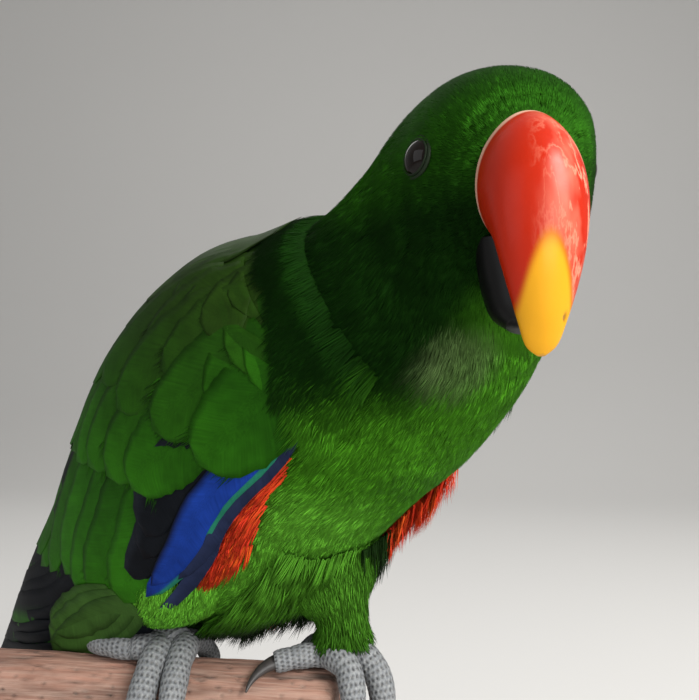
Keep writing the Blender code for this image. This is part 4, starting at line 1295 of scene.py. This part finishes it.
class PARROT_OT_tail(Operator):
    """Lay the tail feathers and their coverts"""

    bl_idname = "parrot.tail"
    bl_label = "Tail"

    def execute(self, context):
        rng = np.random.default_rng(sizes().seed + 3)
        finish = feather_finish("tail_green", 1.6, 0.18, 0.55)
        way = unit(np.array(TAIL_WAY))
        right = unit(np.cross((0, 0, 1), way))
        up = np.cross(way, right)
        root = np.array(TAIL_ROOT) * MM
        parts = []

        def vane(start, along, length, width, droop, tip_shape, long):
            def place(f):
                return start + along * length * f[:, None] - up * droop * (f**2)[:, None]

            def up_at(f):
                return np.tile(up, (len(f), 1))

            grid = vane_grid(place, up_at, width, 0.5, tip_shape, 0.0, TAIL_VANE, 1, rng)
            points, faces, xs, fs, widths = grid
            base = np.tile(hue("tail") * (1 + 0.1 * rng.standard_normal()), (len(xs), 1))
            if long:
                base = base + (hue("tail_tip") - base) * soft(0.89, 0.95, fs)
                base[len(xs) // 2 :] *= 0.35
            parts.append((points, faces, base, barb_map(xs, fs, widths, length, rng.uniform(0, 500))))

        def turned(degrees):
            return np.array(Matrix.Rotation(math.radians(degrees), 3, Vector(up))) @ way

        for pair in range(TAIL_PAIRS):
            for side in (1, -1):
                number = pair + 0.5
                start = root + right * side * number * 1.5 * MM + up * (1.8 - 1.05 * pair - 0.25 * side) * MM
                length = (TAIL_LENGTH - pair * 1.6 - pair**2 * 0.35) * MM
                along = turned(TAIL_SPREAD * number * side)
                vane(start, along, length, TAIL_WIDTH * MM, 3 * MM, 0.2, True)
        for over, lift, length in TAIL_COVERTS:
            for number in range(-2, 3):
                start = root + (right * 5 * number + up * (lift - over * 0.9 * abs(number)) - way * 5) * MM
                reach = (length - 4 * abs(number)) * MM
                vane(start, turned(2.2 * number), reach, 12 * MM, over * 1.5 * MM, 0.4, False)
        obj = join_grids("plumed_tail", parts, finish)
        finished(obj, "tail_feather", "tail")
        self.coverts(root, way, up, finish, rng)
        return {"FINISHED"}

    def coverts(self, root, way, up, finish, rng):
        """Soft barbs over the tail's root, above and below."""
        stations = []
        for along, wide, high in COVERT_CONE:
            middle = root / MM + way * along - up * high / 4
            stations.append((*middle, wide, high, high))
        cone = Tube(stations)
        u, v = feather_spots(rng, cone, 1.3, cone.last - 0.05, 2.6 * MM)
        reach = rng.normal(16, 1.5, len(u)) * MM
        roots, steps, length, tone = fans(rng, cone, u, v, reach, np.full(len(u), 7 * MM), COVERT_BARBS)
        n = len(tone)
        under = np.sin(np.radians(roots[1])) < 0
        base = np.where(under[:, None], hue("wing") * 1.6, hue("tail") * 1.2)
        lifts = (np.full(n, -0.8 * MM), (rng.uniform(-0.2, 1.2, n) + 1.3 * under) * MM)
        width = np.full(n, SOFT_BARB * MM)
        shades = base * tone[:, None]
        barbs("tail_coverts", cone, roots, steps, length, width, lifts, shades, finish, rng, "tail_feather")


def bill_surface(stations, rows, sides, pinch=0.0):
    """Rings of a half of the bill from root to tip, narrower on the ridge by the pinch, and their angles."""
    forward, right, up = head_axes()
    row = rows_at(stations, np.linspace(0, len(stations) - 1, rows)) * MM
    ridge = forward * row[:, 0:1] + up * row[:, 1:2]
    edge = forward * row[:, 2:3] + up * row[:, 3:4]
    middle = np.array(BILL_ROOT) * MM + (ridge + edge) / 2
    along = (ridge - edge) / 2
    across = right[None] * row[:, 4:5]
    angle = np.linspace(0, math.tau, sides, endpoint=False)
    s = np.sin(angle)
    c = np.cos(angle) * (1 - pinch * np.clip(s, 0, 1) ** 3)
    return middle[:, None] + along[:, None] * s[:, None] + across[:, None] * c[:, None], angle


# Marks of the upper bill by its part from root (0) to tip (1): where the yellow starts at the sides, how
# much sooner on the ridge, and where the pale line at the root ends
TIP_START = 0.72
TIP_RIDGE = 0.14
ROOT_LINE = 0.235
# The nick in its edge, dented and painted dark as shade: angle and part, and their reach
NICK = (2.6, 0.79)
NICK_REACH = (0.13, 0.012)
# Where the pale streaks start and are full, in metres along x, on the bird's lit left side: painted
# highlights
HIGHLIGHT_STREAKS = (0.0715, 0.0815)


class PARROT_OT_bill(Operator):
    """Model the upper and lower bill"""

    bl_idname = "parrot.bill"
    bl_label = "Bill"

    def execute(self, context):
        rings, angle = bill_surface(UPPER_BILL_STATIONS, 120, 96, 0.12)
        f = np.linspace(0, 1, 120)[:, None]
        ridge = np.clip(np.sin(angle), 0, 1) ** 3
        tip = smooth(np.clip((f - (TIP_START - TIP_RIDGE * ridge)) / 0.06, 0, 1))[..., None]
        colours = hue("bill") * (1 - tip) + hue("bill_tip") * tip
        root = np.clip((ROOT_LINE - f) / 0.015, 0, 1)[..., None]
        colours = colours * (1 - root) + hue("bill_root") * root
        far = ((angle - NICK[0]) / NICK_REACH[0]) ** 2 + ((f - NICK[1]) / NICK_REACH[1]) ** 2
        nick = np.exp(-far)[..., None]
        # Painted shade in the nick
        colours = colours * (1 - 0.9 * nick)
        inwards = rings.mean(axis=1, keepdims=True) - rings
        rings = rings + unit(inwards) * nick * 0.5 * MM
        upper = rolled("bill_horn_upper", rings, self.horn_finish(), colours)
        finished(upper, "bill_red", "bill_upper")

        rings, angle = bill_surface(LOWER_BILL_STATIONS, 50, 56)
        f = Finish("bill_black", 0.35)
        coords = f.coords()
        f.colour(f.mix(f.noise(coords, 220), (0.0015, 0.0015, 0.002), (0.005, 0.0045, 0.0045)))
        f.gloss(0.2)
        f.bump(f.noise(f.stretched(coords, (400, 400, 120)), 1.0), 0.3, 0.1)
        lower = rolled("bill_horn_lower", rings, f.material)
        finished(lower, "bill_black", "bill_lower")
        return {"FINISHED"}

    def horn_finish(self):
        """Glossy horn with pale branching streaks, painted as highlights on the bird's lit left side."""
        f = Finish("bill_red", 0.28)
        coords = f.coords()
        vein = f.noise(f.stretched(coords, (210, 210, 60), (0.0, 0.25, 0.0)), 1.0, 5.0, 0.62)
        size = f.maths("ABSOLUTE", f.maths("SUBTRACT", vein, 0.5))
        line = f.ramp(size, 0.05, 0.0, 0.0, 1.0)
        cloud = f.ramp(f.noise(f.stretched(coords, (120, 120, 50)), 1.0, 3.0), 0.4, 0.7, 0.0, 1.0)
        place = f.node("ShaderNodeSeparateXYZ")
        f.link(coords, place.inputs[0])
        left = f.ramp(place.outputs["X"], *HIGHLIGHT_STREAKS, 0.0, 0.6)
        painted = f.painted()
        parts = f.node("ShaderNodeSeparateColor")
        f.link(painted, parts.inputs[0])
        off_tip = f.maths("MULTIPLY", left, f.ramp(parts.outputs["Green"], 0.03, 0.14, 1.0, 0.0))
        # Painted highlight: pale streaks only on the lit side, off the yellow tip
        streak_highlight = f.maths("MULTIPLY", f.maths("MAXIMUM", line, cloud), off_tip)
        f.colour(f.mix(streak_highlight, painted, (0.86, 0.4, 0.26)))
        f.rough(f.ramp(f.noise(coords, 300), 0.3, 0.7, 0.3, 0.45))
        f.bump(f.noise(f.stretched(coords, (500, 500, 90)), 1.0, 3.0), 0.2, 0.1)
        f.gloss(0.16)
        f.shader.inputs["Coat Weight"].default_value = 0.05
        f.shader.inputs["Coat Roughness"].default_value = 0.2
        return f.material


class PARROT_OT_eyes(Operator):
    """Model the eyes and their lids"""

    bl_idname = "parrot.eyes"
    bl_label = "Eyes"

    def execute(self, context):
        f = Finish("eye", 0.05)
        f.colour(f.mix(f.noise(f.coords(), 900), (0.002, 0.0015, 0.001), (0.006, 0.003, 0.002)))
        f.gloss(0.22)
        skin = self.lid_finish()
        for side, degrees in (("right", EYE_ROUND), ("left", 180 - EYE_ROUND)):
            t, a = np.array([EYE_ALONG]), np.array([degrees])
            near = BODY.point(t, a)[0]
            out = unit(BODY.point(t, a, np.array([MM]))[0] - near)
            centre = near - out * EYE_DEPTH * MM
            ball = bpy.ops.mesh.primitive_uv_sphere_add
            size = EYE_RADIUS * MM
            eye = shape("eyeball_" + side, ball, segments=48, ring_count=28, radius=size, location=centre)
            place_in_mesh(eye)
            bpy.ops.object.shade_smooth()
            eye.data.materials.append(f.material)
            finished(eye, "eye", "eye_" + side)
            face = normals(BODY, t, a)[0]
            turn = Vector(face).to_track_quat("Z", "Y").to_matrix().to_4x4()
            for number, (radius, thick, lift) in enumerate(LIDS):
                lid = shape(
                    f"lid_{side}_{number}",
                    bpy.ops.mesh.primitive_torus_add,
                    major_segments=56,
                    minor_segments=12,
                    major_radius=radius * MM,
                    minor_radius=thick * MM,
                )
                lid.matrix_world = Matrix.Translation(Vector(centre + face * lift * MM)) @ turn
                place_in_mesh(lid)
                bpy.ops.object.shade_smooth()
                lid.data.materials.append(skin)
                finished(lid, "head_feather")
        return {"FINISHED"}

    def lid_finish(self):
        """Dark skin with fine pores."""
        f = Finish("lid_skin", 0.55)
        f.colour(f.mix(f.noise(f.coords(), 1500), (0.004, 0.009, 0.003), (0.01, 0.02, 0.007)))
        f.gloss(0.15)
        f.bump(f.noise(f.coords(), 2500), 0.5, 0.1)
        return f.material


# The plates of the feet: their length along a toe in mm, how many lie round it, and the colours of a plate
# and of the pores between
PLATE_LENGTH = 1.6
PLATES_ROUND = 16
PLATE_COLOUR = np.array((0.15, 0.16, 0.172))
PORE_COLOUR = np.array((0.012, 0.012, 0.014))
# How many rings lie along a claw
CLAW_ROWS = 22


def scales(along, angle):
    """Rows of plates over a toe, whose pores are dark: how high the skin is, and how dark, from 0 to 1."""
    row = along / PLATE_LENGTH
    gap = np.round(row)
    cell = angle / math.tau * PLATES_ROUND + 0.5 * (gap % 2)
    down = np.abs(row - gap)
    over = np.abs(cell - np.round(cell))
    pore = np.exp(-((down / 0.33) ** 2.5) - (over / 0.33) ** 2.5)
    groove = np.exp(-((down / 0.1) ** 2))
    return 1 - np.maximum(pore, 0.5 * groove), np.maximum(pore, 0.3 * groove)


class PARROT_OT_feet(Operator):
    """Model the scaled feet, their claws and the leg ring"""

    bl_idname = "parrot.feet"
    bl_label = "Feet"

    def execute(self, context):
        f = Finish("foot_skin", 0.7)
        coords = f.coords()
        fine = f.noise(coords, 1400, 3.0)
        f.colour(f.mix(f.ramp(fine, 0.4, 0.75, 0.0, 0.3), f.painted(), (0.5, 0.5, 0.48)))
        f.bump(fine, 0.35, 0.15)
        horn = Finish("claw_horn", 0.35)
        horn.colour(horn.mix(horn.noise(horn.coords(), 500), (0.012, 0.011, 0.011), (0.045, 0.04, 0.038)))
        for side in TOES:
            parts = []
            for name, table in ({"shank": SHANKS[side]} | TOES[side]).items():
                parts.append(self.toe(name, table, f.material))
                if name != "shank":
                    self.claw(side, name, table, horn.material)
            foot = joined(parts)
            foot.name = "scaled_foot_" + side
            finished(foot, "foot_skin", "foot_" + side)
        self.ring()
        return {"FINISHED"}

    def toe(self, name, table, finish):
        """A shank or toe under its plates."""
        length = sum(math.dist(a, b) for a, b in zip(table, table[1:]))
        steps = int(length / FOOT_STEP)
        centres, outward, angle = path_rings(table, steps, FOOT_SIDES)
        along = np.concatenate([[0], np.cumsum(np.linalg.norm(np.diff(centres, axis=0), axis=1))]) / MM
        if name == "shank":
            radius = rows_at(np.array(SHANK_RADII)[:, None], np.linspace(0, 2, steps))[:, 0]
        else:
            first, last = TOE_RADII[name]
            k = np.linspace(0, 1, steps)
            radius = first + (last - first) * k + 0.25 * np.abs(np.sin(3 * math.pi * k))
        height, dark = scales(along[:, None], angle[None])
        full = radius[:, None] - 0.2 + 0.26 * height
        points = centres[:, None] + outward * (full * MM)[..., None]
        return rolled(name, points, finish, PLATE_COLOUR + (PORE_COLOUR - PLATE_COLOUR) * dark[..., None])

    def claw(self, side, name, table, finish):
        """A claw that carries on its toe and bends the same way."""
        steps = np.linspace(0, len(table) - 1, TOE_STEPS[name] + 1)
        points = rows_at(np.asarray(table, float) * MM, steps)
        way = unit(points[-1] - points[-2])
        inwards = way - unit(points[-2] - points[-3])
        inwards = unit(inwards - way * np.dot(inwards, way))
        centre = points[-1] - way * 1.5 * MM
        line = [centre]
        for k in range(CLAW_ROWS):
            bend = math.radians(CLAW_BEND) * (k + 0.5) / CLAW_ROWS
            ahead = way * math.cos(bend) + inwards * math.sin(bend)
            centre = centre + ahead * CLAW_LENGTH * MM / CLAW_ROWS
            line.append(centre)
        line = np.array(line)
        across = unit(np.cross(way, inwards))
        over = np.cross(unit(np.gradient(line, axis=0)), across)
        angle = np.linspace(0, math.tau, 24, endpoint=False)[:, None]
        thick, thin = CLAW_RADII
        radius = (thick + (thin - thick) * np.linspace(0, 1, CLAW_ROWS + 1) ** 1.2)[:, None, None] * MM
        rings = line[:, None] + radius * (across * np.cos(angle) * 0.85 + over[:, None] * np.sin(angle))
        claw = rolled(f"claw_horn_{side}_{name}", rings, finish)
        finished(claw, "claw", f"claw_{side}_{name}")

    def ring(self):
        """The open band that hangs askew round the right shank."""
        f = Finish("ring_metal", 0.32, 1.0)
        coords = f.coords()
        f.colour(f.mix(f.noise(coords, 700), (0.42, 0.42, 0.43), (0.62, 0.62, 0.63)))
        f.bump(f.noise(f.stretched(coords, (900, 900, 3000)), 1.0), 0.2, 0.05)
        turn = Vector(RING_WAY).to_track_quat("Z", "Y").to_matrix().to_4x4()
        place = np.array(Matrix.Translation(Vector(RING_PLACE) * MM) @ turn)
        around = np.radians(np.linspace(15, 345, 97))[:, None]
        section = np.linspace(0, math.tau, 20, endpoint=False)
        radius = 6.45 + 0.45 * boxed(np.cos(section))
        height = np.tile(1.3 * boxed(np.sin(section)), (97, 1))
        rings = np.stack([np.cos(around) * radius, np.sin(around) * radius, height], axis=2) * MM
        rings = rings @ place[:3, :3].T + place[:3, 3]
        band = rolled("leg_band", rings, f.material)
        finished(band, "ring_metal", "leg_ring")


def boxed(wave):
    """A sine or cosine pushed out, which makes a circle nearly a box."""
    return np.sign(wave) * np.abs(wave) ** 0.45


BARK_COLOUR = np.array((0.27, 0.14, 0.1))


class PARROT_OT_perch(Operator):
    """Model the worn perch"""

    bl_idname = "parrot.perch"
    bl_label = "Perch"

    def execute(self, context):
        low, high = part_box("perch")
        length = high.x - low.x
        rows, sides = 300, 120
        part = np.linspace(0, 1, rows)
        near = np.clip(np.minimum(part, 1 - part) * length / (PERCH_EDGE * MM), 0, 1)
        radius = (PERCH_RADIUS - PERCH_EDGE * (1 - np.sqrt(1 - (1 - near) ** 2))) * MM
        angle = np.linspace(0, math.tau, sides, endpoint=False)
        rings = np.zeros((rows, sides, 3))
        tones = np.zeros((rows, sides, 3))
        for i in range(rows):
            x = low.x + length * part[i]
            for j in range(sides):
                c, s = math.cos(angle[j]), math.sin(angle[j])
                bark = noise.fractal(Vector((x * 22, c * 2.6, s * 2.6)), 0.6, 2.1, 4)
                crack = abs(noise.noise(Vector((x * 16, c * 5.5, s * 5.5 + 3))))
                fine = abs(noise.noise(Vector((x * 42, c * 15, s * 15))))
                cut = max(0.0, 1 - crack / 0.06, 0.7 - fine / 0.07)
                r = radius[i] * 0.98 + (0.35 * bark - 0.75 * cut - 0.2) * MM
                rings[i, j] = (x, c * r, PERCH_HEIGHT * MM + s * r)
                # Painted shade: the bark is darker where its cracks are cut in
                tones[i, j] = np.clip(BARK_COLOUR * (0.85 + 0.55 * bark - 0.75 * cut), 0, 1)
        f = Finish("perch_wood", 0.8)
        coords = f.coords()
        grain = f.noise(f.stretched(coords, (60, 900, 900)), 1.0, 5.0, 0.65)
        dust = f.noise(coords, 90, 4.0)
        base = f.mix(f.ramp(grain, 0.4, 0.7, 0.0, 0.55), f.painted(), (0.42, 0.3, 0.24))
        f.colour(f.mix(f.ramp(dust, 0.5, 0.75, 0.0, 0.4), base, (0.16, 0.07, 0.045)))
        f.bump(grain, 0.9, 0.6)
        perch = rolled("worn_perch", rings, f.material, tones)
        finished(perch, "perch_wood", "perch")
        return {"FINISHED"}


class PARROT_OT_stand(Operator):
    """Model the plain display stand"""

    bl_idname = "parrot.stand"
    bl_label = "Stand"

    def execute(self, context):
        f = Finish("stand_base", 0.45)
        coords = f.coords()
        f.colour(f.mix(f.noise(coords, 60, 4.0), (0.075, 0.076, 0.08), (0.1, 0.1, 0.105)))
        f.bump(f.noise(coords, 1800, 2.0), 0.3, 0.08)
        low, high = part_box("stand_base")
        base = shape("display_base", bpy.ops.mesh.primitive_cube_add, size=1, location=(low + high) / 2)
        base.scale = high - low
        place_in_mesh(base)
        made = bmesh.new()
        made.from_mesh(base.data)
        upright = [e for e in made.edges if abs(e.verts[0].co.z - e.verts[1].co.z) > (high.z - low.z) / 2]
        bmesh.ops.bevel(made, geom=upright, offset=BASE_CORNER * MM, segments=16, profile=0.5, affect="EDGES")
        top = [e for e in made.edges if min(v.co.z for v in e.verts) > high.z - MM / 10]
        bmesh.ops.bevel(made, geom=top, offset=BASE_EDGE * MM, segments=4, profile=0.5, affect="EDGES")
        made.to_mesh(base.data)
        made.free()
        round_off(base, CREASE)
        base.data.materials.append(f.material)
        finished(base, "stand_base", "stand_base")
        self.rods()
        return {"FINISHED"}

    def rods(self):
        """The two bright metal rods that hold the perch."""
        f = Finish("stand_rod", 0.3, 1.0)
        coords = f.coords()
        drawn = f.noise(f.stretched(coords, (900, 900, 30)), 1.0)
        f.colour(f.mix(drawn, (0.42, 0.42, 0.44), (0.6, 0.6, 0.62)))
        f.rough(f.ramp(f.noise(f.stretched(coords, (1500, 1500, 40)), 1.0), 0.3, 0.7, 0.24, 0.42))
        for side in ("left", "right"):
            low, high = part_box("stand_rod_" + side)
            rod = shape(
                "display_rod_" + side,
                bpy.ops.mesh.primitive_cylinder_add,
                vertices=48,
                radius=ROD_RADIUS * MM,
                depth=high.z - low.z,
                location=(low + high) / 2,
            )
            place_in_mesh(rod)
            round_off(rod, CREASE)
            rod.data.materials.append(f.material)
            finished(rod, "stand_rod", "stand_rod_" + side)


# The backdrop in metres: how long it lies flat, how far its bend runs, its whole run and half its width,
# and how far its front edge lies before the middle
SWEEP_FLAT = 3
SWEEP_BEND = 1.6
SWEEP_RUN = 6.5
SWEEP_WIDE = 3
SWEEP_FRONT = 2
# Lamps: name, place and size in metres, power in watts, and colour. All point at LAMPS_AIM
LAMPS = (
    ("key", (0.8, -0.6, 0.9), 0.5, 24, (1.0, 0.98, 0.95)),
    ("fill", (-0.9, -0.7, 0.6), 0.9, 3, (0.93, 0.96, 1.0)),
    ("front", (0.45, -1.1, 0.2), 0.7, 8, (1.0, 0.99, 0.97)),
    ("back", (-0.2, 0.9, 1.0), 0.8, 2.5, (1.0, 0.99, 0.97)),
)
LAMPS_AIM = (0.02, -0.02, 0.17)
# The camera: place in metres, degrees round, and in pixels its focal length, the picture's width and how
# far above the horizon it looks
CAMERA_PLACE = (0.0554, -0.2048, 0.1845)
CAMERA_TURN = 7
FOCAL_PIXELS = 700
WIDE_PIXELS = 699
RISE_PIXELS = 40


class PARROT_OT_stage(Operator):
    """Set the floor, the lights and the camera"""

    bl_idname = "parrot.stage"
    bl_label = "Stage"

    def execute(self, context):
        grid = bpy.ops.mesh.primitive_grid_add
        sweep = shape("backdrop", grid, x_subdivisions=2, y_subdivisions=64, size=2)
        co = positions(sweep.data)
        run = (co[:, 1] + 1) / 2 * SWEEP_RUN
        bend = np.clip((run - SWEEP_FLAT) / SWEEP_BEND, 0, 1) * math.pi / 2
        radius = SWEEP_BEND / (math.pi / 2)
        depth = np.minimum(run, SWEEP_FLAT) + np.sin(bend) * radius - SWEEP_FRONT
        rise = (1 - np.cos(bend)) * radius + np.maximum(run - SWEEP_FLAT - SWEEP_BEND, 0)
        co = np.stack([co[:, 0] * SWEEP_WIDE, depth, rise], axis=1)
        sweep.data.vertices.foreach_set("co", co.astype(np.float32).ravel())
        only(sweep)
        bpy.ops.object.shade_smooth()
        paper = Finish("stage_paper", 0.95)
        paper.fill(paper.shader.inputs["Base Color"], (0.66, 0.655, 0.645))
        paper.gloss(0.1)
        sweep.data.materials.append(paper.material)
        self.lamps(context)
        self.camera(context)
        return {"FINISHED"}

    def lamps(self, context):
        """Area lamps and a pale room round them."""
        for name, place, size, power, colour in LAMPS:
            light = bpy.data.lights.new(name, "AREA")
            light.size = size
            light.energy = power
            light.color = colour
            obj = bpy.data.objects.new(name, light)
            context.scene.collection.objects.link(obj)
            obj.location = place
            aim = Vector(LAMPS_AIM) - Vector(place)
            obj.rotation_euler = aim.to_track_quat("-Z", "Y").to_euler()
        world = bpy.data.worlds.new("room")
        context.scene.world = world
        world.use_nodes = True
        room = world.node_tree.nodes["Background"]
        room.inputs["Color"].default_value = (0.86, 0.85, 0.83, 1)
        room.inputs["Strength"].default_value = 0.4
        context.scene.view_settings.view_transform = "Standard"

    def camera(self, context):
        """The camera that gives the picture's outline."""
        camera = bpy.data.cameras.new("camera")
        camera.sensor_fit = "HORIZONTAL"
        camera.sensor_width = 36
        camera.lens = camera.sensor_width * FOCAL_PIXELS / WIDE_PIXELS
        camera.clip_start = 0.01
        obj = bpy.data.objects.new("camera", camera)
        context.scene.collection.objects.link(obj)
        pitch = math.pi / 2 + math.atan(RISE_PIXELS / FOCAL_PIXELS)
        turn = Matrix.Rotation(math.radians(CAMERA_TURN), 4, "Z") @ Matrix.Rotation(pitch, 4, "X")
        obj.matrix_world = Matrix.Translation(CAMERA_PLACE) @ turn
        context.scene.camera = obj


class PARROT_PT_panel(Panel):
    bl_label = "Parrot"
    bl_idname = "PARROT_PT_panel"
    bl_space_type = "VIEW_3D"
    bl_region_type = "UI"
    bl_category = "Parrot"

    def draw(self, context):
        for group in (context.scene.parrot_sizes, context.scene.parrot_colours):
            for name in group.bl_rna.properties.keys():
                if name not in ("rna_type", "name"):
                    self.layout.prop(group, name)
        for step in STEPS:
            self.layout.operator(step.bl_idname)


STEPS = (
    PARROT_OT_stage,
    PARROT_OT_skin,
    PARROT_OT_coat,
    PARROT_OT_leg_coat,
    PARROT_OT_wings,
    PARROT_OT_tail,
    PARROT_OT_bill,
    PARROT_OT_eyes,
    PARROT_OT_feet,
    PARROT_OT_perch,
    PARROT_OT_stand,
)
CLASSES = (ParrotSizes, ParrotColours, PARROT_PT_panel) + STEPS


def register():
    for cls in CLASSES:
        bpy.utils.register_class(cls)
    bpy.types.Scene.parrot_sizes = PointerProperty(type=ParrotSizes)
    bpy.types.Scene.parrot_colours = PointerProperty(type=ParrotColours)


def unregister():
    del bpy.types.Scene.parrot_colours
    del bpy.types.Scene.parrot_sizes
    for cls in reversed(CLASSES):
        bpy.utils.unregister_class(cls)


def main():
    register()
    bpy.ops.object.select_all(action="DESELECT")
    for step in STEPS:
        group, name = step.bl_idname.split(".")
        getattr(getattr(bpy.ops, group), name)()


if __name__ == "__main__":
    main()
